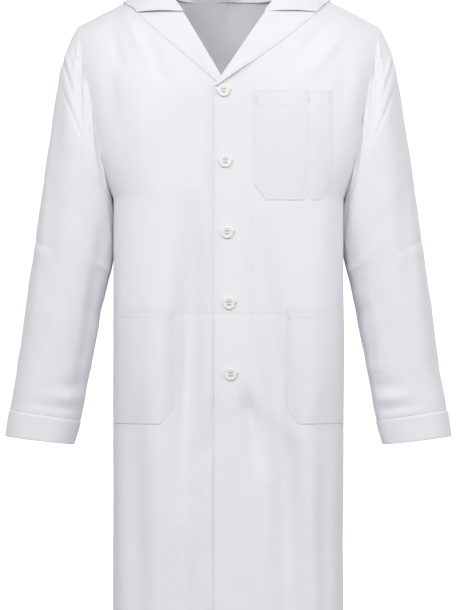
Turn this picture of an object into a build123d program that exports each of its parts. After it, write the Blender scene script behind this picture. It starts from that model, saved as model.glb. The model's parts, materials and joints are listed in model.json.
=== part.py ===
"""Knee-length lab coat, buttoned, in the shape it takes on a figure.

Frame: +Z up, the front of the coat faces -Y, the wearer's left side is +X.
The origin is the middle of the neck opening, level with the inner ends of the
shoulder seams. All sizes are in millimetres.

Cloth stands here as closed sheets CLOTH thick. The body of the coat is one hollow
form, cut into its panels along the coat's seams and along the lines where a panel
folds. Each pocket is an open pouch on its panel.
"""

from build123d import *
import os
from math import cos, radians, sin

os.makedirs("parts", exist_ok=True)

# ---- driving dimensions -------------------------------------------------------
CLOTH = 2.0  # thickness of a stand-in sheet
THIN = 1.2  # thickness of a facing
GAP = 0.3  # clearance between neighbouring panels

HEM_Z = -1060.0
HALF_WIDTH = 180.0
FRONT_Y = -120.0
BACK_Y = 105.0
CORNER = 60.0  # rounding of the body in plan
# Height, half width, front, back and corner radius of the body, from hem to neck.
BODY = [
    (HEM_Z, HALF_WIDTH, FRONT_Y, BACK_Y, CORNER),
    (-340.0, HALF_WIDTH, FRONT_Y, BACK_Y, CORNER),
    (-160.0, 216.0, FRONT_Y, 98.0, CORNER),
    (-110.0, 225.0, -98.0, 86.0, 56.0),
    (-66.0, 232.0, -66.0, 64.0, 52.0),
    (-34.0, 184.0, -62.0, 60.0, 50.0),
    (2.0, 102.0, -62.0, 62.0, 48.0),
]

NECK_X = -5.0  # the neck opening sits a little to the wearer's right
NECK_HALF = (98.0, 58.0)
BACK_NECK_Z = -10.0
V_BOTTOM = (-11.0, -157.0)
V_TOP = (-103.0, 93.0)  # where the two roll lines reach the neck, at height 0

LEFT_EDGE = -23.0  # front edge of the overlapping left front
RIGHT_EDGE = 13.0  # front edge of the right front, underneath
FACING_EDGE = 35.0  # stitched inner edge of the left facing
PLACKET_STEP = 3.8  # how far the overlapping edge stands off the body form
WAIST_SPLIT_Z = -356.0  # below this the left front swings open
SKIRT_HINGE = (HALF_WIDTH, FRONT_Y + CORNER)

BUTTON_COUNT = 5
BUTTON_TOP = (-7.5, -177.0)
BUTTON_STEP = (2.7, -110.4)
BUTTON_RADIUS = 9.5
BUTTON_THICK = 3.2
BUTTON_FACE_Y = FRONT_Y - 7.6
SHANK_RADIUS = 2.0
SWING_SLACK = 3.0  # extra length of a hole that swings off its button

NOTCH_Z = -56.0  # gap between the collar and the lapels
VENT_TOP_Z = -700.0
VENT_HINGE_X = 98.0
VENT_LAP = 15.0  # the vent's two edges pass each other by this, each way

# Height, centre in X, half width and half depth of the sleeve, from shoulder to cuff.
SLEEVE = [
    (-70.0, 205.0, 32.0, 40.0),
    (-89.0, 199.0, 48.0, 62.0),
    (-128.0, 197.0, 60.0, 74.0),
    (-206.0, 207.0, 64.0, 78.0),
    (-346.0, 238.0, 56.0, 68.0),
    (-405.0, 243.5, 61.5, 62.0),
    (-465.0, 253.5, 60.5, 56.0),
    (-611.0, 279.5, 58.0, 48.0),
    (-683.0, 293.0, 55.0, 44.0),
    (-728.0, 301.5, 53.0, 42.0),
]
SLEEVE_Y = -6.0
SLEEVE_TILT = 10.7  # degrees from the vertical
SHOULDER = (233.0, -68.0)  # top of the armhole, in X and Z
ARMPIT = (184.0, -342.0)
ELBOW = (256.2, -480.0)
CUFF = (291.5, -684.0)  # where the cuff seam crosses the sleeve's middle

FAR = 1500.0


# ---- shared forms ---------------------------------------------------------------
def body_form(grow, drop=0.0):
    """The body of the coat as a solid, grown sideways, with its sloping top lowered by drop."""
    with BuildPart() as form:
        for z, half, front, back, corner in BODY:
            level = z - drop if z > -150 else z
            if z == HEM_Z and drop:
                level = z - 10
            with BuildSketch(Plane.XY.offset(level)):
                with Locations((0, (front + back) / 2)):
                    RectangleRounded(
                        2 * (half + grow), back - front + 2 * grow, corner + grow
                    )
        loft(ruled=True)
    return form.part


def prism(points, near=0.0, far=-400.0):
    """A region drawn in X and Z, from y = near to y = far."""
    with BuildPart() as region:
        with BuildSketch(Plane.XZ.offset(-near)):
            with BuildLine():
                Polyline(*points, close=True)
            make_face()
        extrude(amount=near - far)
    return region.part


def slab(x=(-FAR, FAR), y=(-FAR, FAR), z=(-FAR, FAR)):
    """A box between two limits on each axis."""
    with BuildPart() as box:
        with Locations((sum(x) / 2, sum(y) / 2, sum(z) / 2)):
            Box(x[1] - x[0], y[1] - y[0], z[1] - z[0])
    return box.part


def beyond(x, z, tilt):
    """Everything outboard of a plane through (x, z), leaning out at the top by tilt degrees."""
    plane = Plane(
        origin=(x, 0, z), x_dir=(0, 1, 0), z_dir=(cos(radians(tilt)), 0, -sin(radians(tilt)))
    )
    with BuildPart(plane) as region:
        Box(FAR, FAR, FAR, align=(Align.CENTER, Align.CENTER, Align.MIN))
    return region.part


def chamfered(x0, x1, top, bottom, cut):
    """A patch pocket's outline with its lower corners cut off."""
    return [
        (x0, top),
        (x1, top),
        (x1, bottom + cut),
        (x1 - cut, bottom),
        (x0 + cut, bottom),
        (x0, bottom + cut),
    ]


def sheet_between(outer, inner, region):
    """The layer between two growths of the body form, inside a region."""
    with BuildPart() as layer:
        add(body_form(outer))
        add(body_form(inner), mode=Mode.SUBTRACT)
        add(region, mode=Mode.INTERSECT)
    return layer.part


def write(solid, name):
    solid.label = name
    export_step(solid, f"parts/{name}.step")


# ---- the hollow body --------------------------------------------------------------
armhole_lean = 10.2
with BuildPart() as neck_hole:
    with BuildSketch(Plane.XY.offset(BACK_NECK_Z)):
        with Locations((NECK_X, 0)):
            RectangleRounded(2 * NECK_HALF[0], 2 * NECK_HALF[1], 50)
    extrude(amount=200)

with BuildPart() as armhole:
    add(beyond(SHOULDER[0] - 6, SHOULDER[1], armhole_lean))
    add(slab(z=(ARMPIT[1] + 12, FAR)), mode=Mode.INTERSECT)

with BuildPart() as body:
    add(body_form(0))
    add(body_form(-CLOTH, drop=2.5), mode=Mode.SUBTRACT)
    add(neck_hole.part, mode=Mode.SUBTRACT)
    add(armhole.part, mode=Mode.SUBTRACT)
    add(mirror(armhole.part, about=Plane.YZ, mode=Mode.PRIVATE), mode=Mode.SUBTRACT)

right_slope = (V_BOTTOM[0] - V_TOP[0]) / -V_BOTTOM[1]
left_slope = (V_TOP[1] - V_BOTTOM[0]) / -V_BOTTOM[1]


def right_roll(z):
    return V_BOTTOM[0] - right_slope * (z - V_BOTTOM[1])


def left_roll(z):
    return V_BOTTOM[0] + left_slope * (z - V_BOTTOM[1])


right_break = V_BOTTOM[1] - (RIGHT_EDGE - V_BOTTOM[0]) / right_slope
left_break = V_BOTTOM[1] + (LEFT_EDGE - V_BOTTOM[0]) / left_slope
TOP = 60.0
right_area = prism(
    [
        (-400, HEM_Z - 5),
        (RIGHT_EDGE, HEM_Z - 5),
        (RIGHT_EDGE, right_break),
        (right_roll(TOP), TOP),
        (-400, TOP),
    ]
)
left_area = prism(
    [
        (400, HEM_Z - 5),
        (LEFT_EDGE, HEM_Z - 5),
        (LEFT_EDGE, left_break),
        (left_roll(TOP), TOP),
        (400, TOP),
    ]
)

# ---- fronts -------------------------------------------------------------------------
with BuildPart() as right_front:
    add(body.part)
    add(right_area, mode=Mode.INTERSECT)
write(right_front.part, "right_front")

with BuildPart() as right_front_facing:
    add(sheet_between(-CLOTH - 0.1, -CLOTH - 0.1 - THIN, right_area))
    add(slab(x=(-45, RIGHT_EDGE), z=(HEM_Z, right_break)), mode=Mode.INTERSECT)
write(right_front_facing.part, "right_front_facing")


def button_place(index):
    return (
        BUTTON_TOP[0] + BUTTON_STEP[0] * index,
        BUTTON_TOP[1] + BUTTON_STEP[1] * index,
    )


def buttonhole(index, width, height, shift):
    """A lying slot through the left front, for one button."""
    x, z = button_place(index)
    with BuildPart() as hole:
        with BuildSketch(Plane.XZ.offset(-FRONT_Y - 30)):
            with Locations((x + shift, z)):
                SlotOverall(width, height)
        extrude(amount=60)
    return hole.part


wide = 2 * BUTTON_RADIUS + 1.2
with BuildPart() as buttonholes:
    for k in range(BUTTON_COUNT):
        if button_place(k)[1] > WAIST_SPLIT_Z:
            add(buttonhole(k, 23, 2 * SHANK_RADIUS + 0.8, 0))
        else:
            add(buttonhole(k, wide + SWING_SLACK, wide, -SWING_SLACK / 2))

# The left front steps outwards over the right front along its edge.
with BuildPart() as left_front:
    add(body.part)
    add(slab(x=(FACING_EDGE - CLOTH, FAR)), mode=Mode.INTERSECT)
    add(
        sheet_between(
            PLACKET_STEP, PLACKET_STEP - CLOTH, slab(x=(LEFT_EDGE, FACING_EDGE), y=(-FAR, 0))
        )
    )
    add(
        sheet_between(
            PLACKET_STEP,
            -CLOTH,
            slab(x=(FACING_EDGE - CLOTH, FACING_EDGE), y=(-FAR, -50), z=(HEM_Z, left_roll(0))),
        )
    )
    add(left_area, mode=Mode.INTERSECT)
    add(neck_hole.part, mode=Mode.SUBTRACT)
    add(buttonholes.part, mode=Mode.SUBTRACT)

with BuildPart() as left_front_chest:
    add(left_front.part)
    add(slab(z=(WAIST_SPLIT_Z, FAR)), mode=Mode.INTERSECT)
write(left_front_chest.part, "left_front_chest")

with BuildPart() as left_front_side:
    add(left_front.part)
    add(
        slab(y=(SKIRT_HINGE[1] + GAP, FAR), z=(-FAR, WAIST_SPLIT_Z - GAP)),
        mode=Mode.INTERSECT,
    )
write(left_front_side.part, "left_front_side")

with BuildPart() as left_front_skirt:
    add(left_front.part)
    add(
        slab(y=(-FAR, SKIRT_HINGE[1]), z=(-FAR, WAIST_SPLIT_Z - 2 * GAP)),
        mode=Mode.INTERSECT,
    )
write(left_front_skirt.part, "left_front_skirt")

facing_area = slab(x=(LEFT_EDGE, FACING_EDGE - CLOTH - 0.2), y=(-FAR, 0))
with BuildPart() as left_facing:
    add(sheet_between(PLACKET_STEP - CLOTH - 0.1, PLACKET_STEP - CLOTH - 0.1 - THIN, facing_area))
    add(left_area, mode=Mode.INTERSECT)
    add(buttonholes.part, mode=Mode.SUBTRACT)

with BuildPart() as left_chest_facing:
    add(left_facing.part)
    add(slab(z=(WAIST_SPLIT_Z, left_break)), mode=Mode.INTERSECT)
write(left_chest_facing.part, "left_chest_facing")

with BuildPart() as left_skirt_facing:
    add(left_facing.part)
    add(slab(z=(-FAR, WAIST_SPLIT_Z - 2 * GAP)), mode=Mode.INTERSECT)
write(left_skirt_facing.part, "left_skirt_facing")

# ---- backs, with a vent that laps left over right -------------------------------------
with BuildPart() as back_right:
    add(body.part)
    add(slab(x=(-FAR, -GAP / 2), y=(GAP, FAR)), mode=Mode.INTERSECT)
    add(
        sheet_between(
            0, -CLOTH, slab(x=(-10, VENT_LAP), y=(GAP, FAR), z=(HEM_Z, VENT_TOP_Z - GAP))
        )
    )
write(back_right.part, "back_right")

with BuildPart() as back_left:
    add(body.part)
    add(slab(x=(GAP / 2, FAR), y=(GAP, FAR)), mode=Mode.INTERSECT)
    add(
        slab(x=(-FAR, VENT_HINGE_X + 1), y=(0, FAR), z=(-FAR, VENT_TOP_Z)),
        mode=Mode.SUBTRACT,
    )
write(back_left.part, "back_left")

with BuildPart() as vent_flap:
    with Locations(
        (
            (VENT_HINGE_X - VENT_LAP) / 2,
            BACK_Y + 0.5 + CLOTH / 2,
            (HEM_Z + VENT_TOP_Z - 2 * GAP) / 2,
        )
    ):
        Box(VENT_HINGE_X + VENT_LAP, CLOTH, VENT_TOP_Z - 2 * GAP - HEM_Z)
    fillet(vent_flap.edges().filter_by(Axis.Y).group_by(Axis.Z)[0], radius=6)
write(vent_flap.part, "vent_flap")

# ---- lapels ------------------------------------------------------------------------------
LAPEL_GROW = (6.2, 4.1)
lapel_low = left_break + 6
left_lapel_area = prism(
    [
        (left_roll(lapel_low), lapel_low),
        (34, -138),
        (77, -109),
        (136, NOTCH_Z - 1),
        (left_roll(NOTCH_Z), NOTCH_Z - 1),
    ]
)
right_lapel_area = prism(
    [
        (right_roll(V_BOTTOM[1] + 2), V_BOTTOM[1] + 2),
        (-26, -163),
        (-83, -112),
        (-144, NOTCH_Z - 1),
        (right_roll(NOTCH_Z), NOTCH_Z - 1),
    ]
)
with BuildPart() as left_lapel:
    add(sheet_between(*LAPEL_GROW, left_lapel_area))
write(left_lapel.part, "left_lapel")

with BuildPart() as right_lapel:
    add(sheet_between(*LAPEL_GROW, right_lapel_area))
write(right_lapel.part, "right_lapel")

# ---- collar: a stand round the neck and a leaf that falls from it ---------------------------
# Height, half width, half depth and corner radius of the leaf's outer face.
LEAF = [(42.0, 103.0, 64.0, 52.0), (-14.0, 148.0, 76.0, 50.0), (-60.0, 150.0, 80.0, 50.0)]


def leaf_form(grow, drop):
    with BuildPart() as form:
        for z, half, depth, corner in LEAF:
            with BuildSketch(Plane.XY.offset(z - drop)):
                with Locations((NECK_X, 0)):
                    RectangleRounded(2 * (half + grow), 2 * (depth + grow), corner + grow)
        loft(ruled=True)
    return form.part


v_gap = prism([V_BOTTOM, (left_roll(TOP), TOP), (right_roll(TOP), TOP)], near=-6, far=-400)
collar_slope = Plane(origin=(0, 0, 26), x_dir=(1, 0, 0), z_dir=(0, -0.2, 1))
with BuildPart(collar_slope) as above_collar:
    Box(FAR, FAR, FAR, align=(Align.CENTER, Align.CENTER, Align.MIN))
leaf_edge = Plane(origin=(0, 0, -46), x_dir=(1, 0, 0), z_dir=(0, -0.13, 1))
with BuildPart(leaf_edge) as below_leaf:
    Box(FAR, FAR, FAR, align=(Align.CENTER, Align.CENTER, Align.MAX))
front_half = slab(y=(-FAR, -6))


def collar_layer(grow, drop, thick):
    """One layer of the leaf, open at the V, resting above the shoulders."""
    with BuildPart() as layer:
        add(leaf_form(grow, drop))
        add(leaf_form(grow - thick, drop + thick * 1.2), mode=Mode.SUBTRACT)
        add(body_form(0.6), mode=Mode.SUBTRACT)
        add(below_leaf.part, mode=Mode.SUBTRACT)
        add(above_collar.part, mode=Mode.SUBTRACT)
        add(v_gap, mode=Mode.SUBTRACT)
        add(slab(z=(-FAR, NOTCH_Z + 2)), mode=Mode.SUBTRACT)
    return max(layer.part.solids(), key=lambda s: s.volume)


with BuildPart() as collar_leaf:
    add(collar_layer(0, 0, 1.8))
write(collar_leaf.part, "collar_leaf")

with BuildPart() as under_collar:
    add(collar_layer(-2.0, 2.5, 1.4))
write(under_collar.part, "under_collar")

with BuildPart() as collar_stand:
    with BuildSketch(Plane.XY.offset(BACK_NECK_Z + GAP)):
        with Locations((NECK_X, 0)):
            RectangleRounded(2 * NECK_HALF[0] - 0.6, 2 * NECK_HALF[1] - 0.6, 49.7)
            RectangleRounded(
                2 * (NECK_HALF[0] - CLOTH), 2 * (NECK_HALF[1] - CLOTH), 48, mode=Mode.SUBTRACT
            )
    extrude(amount=60)
    add(above_collar.part, mode=Mode.SUBTRACT)
    add(v_gap, mode=Mode.SUBTRACT)
    add(front_half, mode=Mode.SUBTRACT)
write(collar_stand.part, "collar_stand")

# ---- pockets: open pouches on the panels ------------------------------------------------------
POUCH = 8.4  # how far a pouch stands off
CHEST_POCKET = (36.7, 157.0, -181.0, -351.0, 22.0)
PEN_STITCH_X = 121.0
HIP_POCKET = (87.0, 179.2, -512.0, -692.0, 22.0)


def pouch(x0, x1, top, bottom, cut, end_y=-20.0):
    """A patch pocket with an open top. Its inside is against the panel."""
    inner = chamfered(x0 + CLOTH, x1 - CLOTH, top + 20, bottom + CLOTH, cut)
    with BuildPart() as pocket:
        add(sheet_between(POUCH, 0.2, prism(chamfered(x0, x1, top, bottom, cut), near=end_y)))
        add(
            sheet_between(POUCH - CLOTH, 0, prism(inner, near=end_y - CLOTH)),
            mode=Mode.SUBTRACT,
        )
    return max(pocket.part.solids(), key=lambda s: s.volume)


with BuildPart() as chest_pocket:
    add(pouch(*CHEST_POCKET))
write(chest_pocket.part, "chest_pocket")

with BuildPart() as pen_slot_stitch:
    add(
        sheet_between(
            POUCH - CLOTH - 0.1,
            0.3,
            slab(
                x=(PEN_STITCH_X - 0.5, PEN_STITCH_X + 0.5),
                y=(-FAR, -50),
                z=(CHEST_POCKET[3] + CLOTH + 0.2, CHEST_POCKET[2] - 4),
            ),
        )
    )
write(pen_slot_stitch.part, "pen_slot_stitch")

hinge_clear = SKIRT_HINGE[1] - 2
with BuildPart() as left_hip_pocket:
    wide_outline = (HIP_POCKET[0], HALF_WIDTH + 30, *HIP_POCKET[2:4], HIP_POCKET[4])
    add(pouch(*wide_outline, end_y=hinge_clear))
write(left_hip_pocket.part, "left_hip_pocket")

with BuildPart() as right_hip_pocket:
    add(mirror(left_hip_pocket.part, about=Plane.YZ, mode=Mode.PRIVATE))
write(right_hip_pocket.part, "right_hip_pocket")

# ---- bar tacks at the upper corners of the pockets ---------------------------------------------
TACK = (1.6, 0.9, 9.0)


def tack(x, z):
    with BuildPart() as bar:
        with Locations((x, FRONT_Y - POUCH - TACK[1] / 2 - 0.05, z)):
            Box(*TACK)
    return bar.part


with BuildPart() as chest_pocket_bartacks:
    for x in (CHEST_POCKET[0] + 3, PEN_STITCH_X):
        add(tack(x, CHEST_POCKET[2] - 6))
write(chest_pocket_bartacks.part, "chest_pocket_bartacks")

with BuildPart() as left_pocket_bartack:
    add(tack(HIP_POCKET[0] + 3, HIP_POCKET[2] - 6))
write(left_pocket_bartack.part, "left_pocket_bartack")

with BuildPart() as right_pocket_bartack:
    add(tack(-HIP_POCKET[0] - 3, HIP_POCKET[2] - 6))
write(right_pocket_bartack.part, "right_pocket_bartack")

# ---- buttons, sewn to the right front through the left front's buttonholes -----------------------
HOLE_PITCH = 2.2  # half the spacing of a button's four holes
HOLE_RADIUS = 1.0
THREAD_RADIUS = 0.7
FLANGE = 0.4  # where the strands spread out under the button
WELL_RADIUS = 6.2
WELL_DEPTH = 0.9
button_back = FRONT_Y - PLACKET_STEP - 0.6


def button(index):
    x, z = button_place(index)
    face = Plane(origin=(x, button_back, z), x_dir=(1, 0, 0), z_dir=(0, -1, 0))
    with BuildPart(face) as disc:
        Cylinder(BUTTON_RADIUS, BUTTON_THICK, align=(Align.CENTER, Align.CENTER, Align.MIN))
        fillet(disc.edges().filter_by(GeomType.CIRCLE), radius=0.9)
        with Locations((0, 0, BUTTON_THICK)):
            CounterBoreHole(0.3, WELL_RADIUS, WELL_DEPTH, depth=WELL_DEPTH)
        with Locations((0, 0, BUTTON_THICK)):
            with GridLocations(2 * HOLE_PITCH, 2 * HOLE_PITCH, 2, 2):
                Hole(HOLE_RADIUS)
    return disc.part


def stitch(index):
    """The thread of one button: a shank, four strands through the holes and two bars."""
    x, z = button_place(index)
    face = Plane(origin=(x, FRONT_Y - 0.05, z), x_dir=(1, 0, 0), z_dir=(0, -1, 0))
    shank = FRONT_Y - 0.05 - button_back - 0.1
    bar_at = FRONT_Y - button_back + BUTTON_THICK - WELL_DEPTH
    with BuildPart(face) as thread:
        Cylinder(SHANK_RADIUS, shank, align=(Align.CENTER, Align.CENTER, Align.MIN))
        with Locations((0, 0, shank - FLANGE)):
            Cylinder(4.0, FLANGE, align=(Align.CENTER, Align.CENTER, Align.MIN))
        with GridLocations(2 * HOLE_PITCH, 2 * HOLE_PITCH, 2, 2):
            with Locations((0, 0, shank - FLANGE)):
                Cylinder(
                    THREAD_RADIUS,
                    bar_at - shank + FLANGE + 0.5,
                    align=(Align.CENTER, Align.CENTER, Align.MIN),
                )
        for row in (-HOLE_PITCH, HOLE_PITCH):
            with Locations((0, row, bar_at + 0.5)):
                Box(2 * HOLE_PITCH, 2 * THREAD_RADIUS, 0.8)
    return thread.part


for k in range(BUTTON_COUNT):
    with BuildPart() as one_button:
        add(button(k))
    write(one_button.part, f"button_{k + 1}")

with BuildPart() as button_threads:
    for k in range(BUTTON_COUNT):
        add(stitch(k))
write(button_threads.part, "button_threads")

# ---- inside the back neck: hanging loop and a blank label ------------------------------------------
LOOP_TOP = 8.0
LOOP_HALF = 30.0
LOOP_DROP = 24.0
LOOP_BAND = 6.0
LABEL = (48.0, 1.0, 20.0)
loop_y = NECK_HALF[1] - CLOTH - 3.0
with BuildPart() as hang_loop:
    with BuildSketch(Plane.XZ.offset(-loop_y)):
        with Locations((NECK_X, LOOP_TOP - LOOP_DROP / 2)):
            RectangleRounded(2 * LOOP_HALF, LOOP_DROP, 8)
            RectangleRounded(
                2 * (LOOP_HALF - LOOP_BAND), LOOP_DROP - 2 * LOOP_BAND, 4, mode=Mode.SUBTRACT
            )
    extrude(amount=1.5)
write(hang_loop.part, "hang_loop")

with BuildPart() as neck_label:
    with Locations((NECK_X, NECK_HALF[1] - CLOTH - 0.8, 22.0)):
        Box(*LABEL)
write(neck_label.part, "neck_label")


# ---- sleeves ------------------------------------------------------------------------------------------
def sleeve_form(shrink, extend):
    """The left sleeve as a solid, shrunk by a wall, with its cuff end extended."""
    with BuildPart() as form:
        for z, x, half, depth in SLEEVE:
            level = z - extend if z == SLEEVE[-1][0] else z - shrink * (z > -100)
            with BuildSketch(Plane.XY.offset(level)):
                with Locations((x, SLEEVE_Y)):
                    Ellipse(half - shrink, depth - shrink)
        loft(ruled=True)
    return form.part


def across(x, z):
    """Everything beyond a plane square to the left sleeve's line through (x, z)."""
    lean = radians(SLEEVE_TILT)
    plane = Plane(origin=(x, 0, z), x_dir=(0, 1, 0), z_dir=(sin(lean), 0, -cos(lean)))
    with BuildPart(plane) as region:
        Box(FAR, FAR, FAR, align=(Align.CENTER, Align.CENTER, Align.MIN))
    return region.part


with BuildPart() as whole_sleeve:
    add(sleeve_form(0, 0))
    add(sleeve_form(CLOTH, 10), mode=Mode.SUBTRACT)
    add(beyond(SHOULDER[0], SHOULDER[1], armhole_lean), mode=Mode.INTERSECT)
    add(body_form(1.0), mode=Mode.SUBTRACT)

with BuildPart() as left_upper_sleeve:
    add(whole_sleeve.part)
    add(across(ELBOW[0], ELBOW[1]), mode=Mode.SUBTRACT)
with BuildPart() as left_lower_sleeve:
    add(whole_sleeve.part)
    add(across(ELBOW[0], ELBOW[1] - 2 * GAP), mode=Mode.INTERSECT)
    add(across(CUFF[0], CUFF[1]), mode=Mode.SUBTRACT)
with BuildPart() as left_cuff:
    add(whole_sleeve.part)
    add(across(CUFF[0], CUFF[1] - 0.1), mode=Mode.INTERSECT)

for name, made in (
    ("upper_sleeve", left_upper_sleeve),
    ("lower_sleeve", left_lower_sleeve),
    ("cuff", left_cuff),
):
    write(max(made.part.solids(), key=lambda s: s.volume), f"left_{name}")
    with BuildPart() as mirrored:
        add(mirror(made.part, about=Plane.YZ, mode=Mode.PRIVATE))
    write(max(mirrored.part.solids(), key=lambda s: s.volume), f"right_{name}")
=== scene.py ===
"""Looks of the lab coat: cloth, seams, stitching, buttons, light and camera.

The coat is worked out in millimetres in the CAD model's frame (+Z up, the front
faces -Y, +X is the wearer's left) and turned into metres when a mesh is made.
"""

import json
import math

import bpy
import numpy as np
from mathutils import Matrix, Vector, noise

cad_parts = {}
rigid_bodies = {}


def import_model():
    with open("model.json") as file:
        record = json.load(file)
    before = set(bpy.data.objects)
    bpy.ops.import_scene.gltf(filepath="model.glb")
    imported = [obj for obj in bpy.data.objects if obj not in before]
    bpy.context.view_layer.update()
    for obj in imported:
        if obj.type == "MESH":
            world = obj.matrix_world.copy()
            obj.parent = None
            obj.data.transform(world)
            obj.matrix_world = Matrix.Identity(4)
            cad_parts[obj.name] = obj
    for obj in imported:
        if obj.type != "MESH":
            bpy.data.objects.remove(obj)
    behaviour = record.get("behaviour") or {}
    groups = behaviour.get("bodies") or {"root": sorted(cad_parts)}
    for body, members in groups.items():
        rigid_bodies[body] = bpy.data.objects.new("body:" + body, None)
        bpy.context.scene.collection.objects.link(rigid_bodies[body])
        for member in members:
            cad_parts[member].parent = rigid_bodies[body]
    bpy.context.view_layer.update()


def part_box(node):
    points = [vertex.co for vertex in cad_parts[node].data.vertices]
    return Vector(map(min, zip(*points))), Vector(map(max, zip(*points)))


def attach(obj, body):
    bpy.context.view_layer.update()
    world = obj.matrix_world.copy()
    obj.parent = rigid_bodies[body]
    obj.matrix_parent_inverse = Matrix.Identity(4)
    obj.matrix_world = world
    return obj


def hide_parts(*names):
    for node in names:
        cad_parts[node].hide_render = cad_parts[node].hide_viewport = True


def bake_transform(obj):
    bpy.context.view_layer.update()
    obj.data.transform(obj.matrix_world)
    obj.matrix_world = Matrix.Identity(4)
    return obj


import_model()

MM = 0.001

# ---- sizes of the coat, in millimetres -------------------------------------
HEM_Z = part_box("right_front")[0].z / MM
HALF = 182.2  # half width of the body below the armholes
MIDDLE_Y = -7.0  # where front and back meet
FRONT_DEPTH = 113.0
BACK_DEPTH = 115.0
FRONT_FALL = 230.0  # below the shoulder line, where the full depth is reached
BACK_FALL = 300.0
ARMPIT_Z = -345.0
SHOULDER_SLOPE = 0.51
NECK_POINT = 95.0  # inner end of the shoulder seam, at NECK_Z
NECK_Z = 5.0
HINGE = (180.0, -60.0)  # upright line that the left front swings about
DOOR = (-345.0, -545.0)  # the left front turns between these heights
CLOTH = 0.9
SHOULDER_END = 240.0  # outer end of the shoulder seam
LEFT_EDGE = -22.0
RIGHT_EDGE = 15.0
FACING_EDGE = 37.0
RIGHT_FACING_LINE = 35.0
LAP = 3.8  # how far the overlapping edge stands off
V_BOTTOM = (-11.0, -156.5)
LEFT_NECK = 93.0  # where the roll lines reach height 0
RIGHT_NECK = -103.0
NECK_ENDS = {1: (96.0, 4.5), -1: (103.3, 0.8)}  # where a roll line meets the shoulder seam
VENT_TOP = -700.0
VENT_HINGE = 98.0
BUTTONS = [(-7.5 + 2.7 * k, -177.0 - 110.4 * k) for k in range(5)]
SLIT = 0.22  # half the gap of a buttonhole
UPPER_BUTTONS = 2  # buttons above the part of the front that swings
HEM_LINE = 24.0  # height of the hem's stitches above the hem
STITCH_LINES = (2.2, 7.6)  # a pocket's two lines of stitches, from its edge
LAPEL_STITCH = 5.2
COLLAR_STITCH = 5.0
FORWARD = (0, -1, 0)
BACKWARD = (0, 1, 0)


# ---- numbers along a line --------------------------------------------------
def ease(t):
    t = np.clip(t, 0.0, 1.0)
    return t * t * (3 - 2 * t)


def bump(x, centre, width):
    """1 at the centre, falling smoothly to 0 about two widths away."""
    return np.exp(-(((x - centre) / width) ** 2))


def spline(points):
    """A smooth curve through (place, value) points, held flat beyond its ends."""
    places = np.array([p[0] for p in points], float)
    values = np.array([p[1] for p in points], float)
    slopes = np.gradient(values, places, axis=0)

    def curve(x):
        x = np.clip(np.asarray(x, float), places[0], places[-1])
        i = np.clip(np.searchsorted(places, x) - 1, 0, len(places) - 2)
        step = places[i + 1] - places[i]
        t = (x - places[i]) / step
        if values.ndim > 1:
            t, step = t[..., None], step[..., None]
        a, b = (2 * t**3 - 3 * t**2 + 1), (t**3 - 2 * t**2 + t) * step
        c, d = (3 * t**2 - 2 * t**3), (t**3 - t**2) * step
        return a * values[i] + b * slopes[i] + c * values[i + 1] + d * slopes[i + 1]

    return curve


def spaced(low, high, step, extra=()):
    """Even places from low to high, with the extra ones worked in."""
    even = np.linspace(low, high, max(2, int(abs(high - low) / step) + 1))
    near = [p for p in extra if min(low, high) < p < max(low, high)]
    kept = [e for e in even if all(abs(e - p) > 0.35 * step for p in near)]
    kept = sorted(set(kept) | set(near) | {low, high})
    return np.array(kept if low < high else kept[::-1])


# ---- the shape of the body -------------------------------------------------
armhole_x = spline(
    [(-345, 182.2), (-338, 184.5), (-284, 199), (-206, 211.5), (-151, 224), (-69, SHOULDER_END), (60, SHOULDER_END)]
)


def shoulder_z(x):
    return NECK_Z - SHOULDER_SLOPE * (np.abs(x) - NECK_POINT)


def armhole_share(z):
    """How deep the armhole is at a height, as a share of the body's depth."""
    t = np.clip((z - ARMPIT_Z) / 75.0, 0, 1)
    return 0.62 * np.sqrt(1 - (1 - t) ** 2)


def body_depth(x, z, side):
    """Depth of the body's middle below the shoulder line, on its front (-1) or back (1)."""
    reach, full = (FRONT_FALL, FRONT_DEPTH) if side < 0 else (BACK_FALL, BACK_DEPTH)
    t = np.clip((shoulder_z(x) - z) / reach, 0, 1)
    return full * np.sqrt(1 - (1 - t) ** 2)


def body_y(x, z, side):
    cut = 1 - armhole_share(z) ** 4
    left = np.clip(1 - cut * (np.abs(x) / armhole_x(z)) ** 4, 0, 1)
    return MIDDLE_Y + side * body_depth(x, z, side) * left**0.25


def round_point(angle, side):
    """A point of the body's outline below the armholes, by its angle from the middle."""
    depth = FRONT_DEPTH if side < 0 else BACK_DEPTH
    reach = (np.abs(np.sin(angle) / HALF) ** 4 + np.abs(np.cos(angle) / depth) ** 4) ** -0.25
    return reach * np.sin(angle), MIDDLE_Y + side * reach * np.cos(angle)


def angle_at(x, z, side):
    """The angle from the middle at which the body's outline has this x."""
    return np.arctan2(x, (body_y(x, z, side) - MIDDLE_Y) * side)


HINGE_ANGLE = math.atan2(HINGE[0], MIDDLE_Y - HINGE[1])


# ---- folds -----------------------------------------------------------------
def ridge(x, z, start, end, width, height):
    """A soft fold from start to end in (x, z), raised by height, dying out at its ends."""
    ax, az = start
    bx, bz = end
    length2 = (bx - ax) ** 2 + (bz - az) ** 2
    t = np.clip(((x - ax) * (bx - ax) + (z - az) * (bz - az)) / length2, 0, 1)
    away = np.hypot(x - ax - t * (bx - ax), z - az - t * (bz - az))
    return height * np.exp(-((away / width) ** 2)) * np.sin(np.pi * t) ** 1.1


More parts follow.
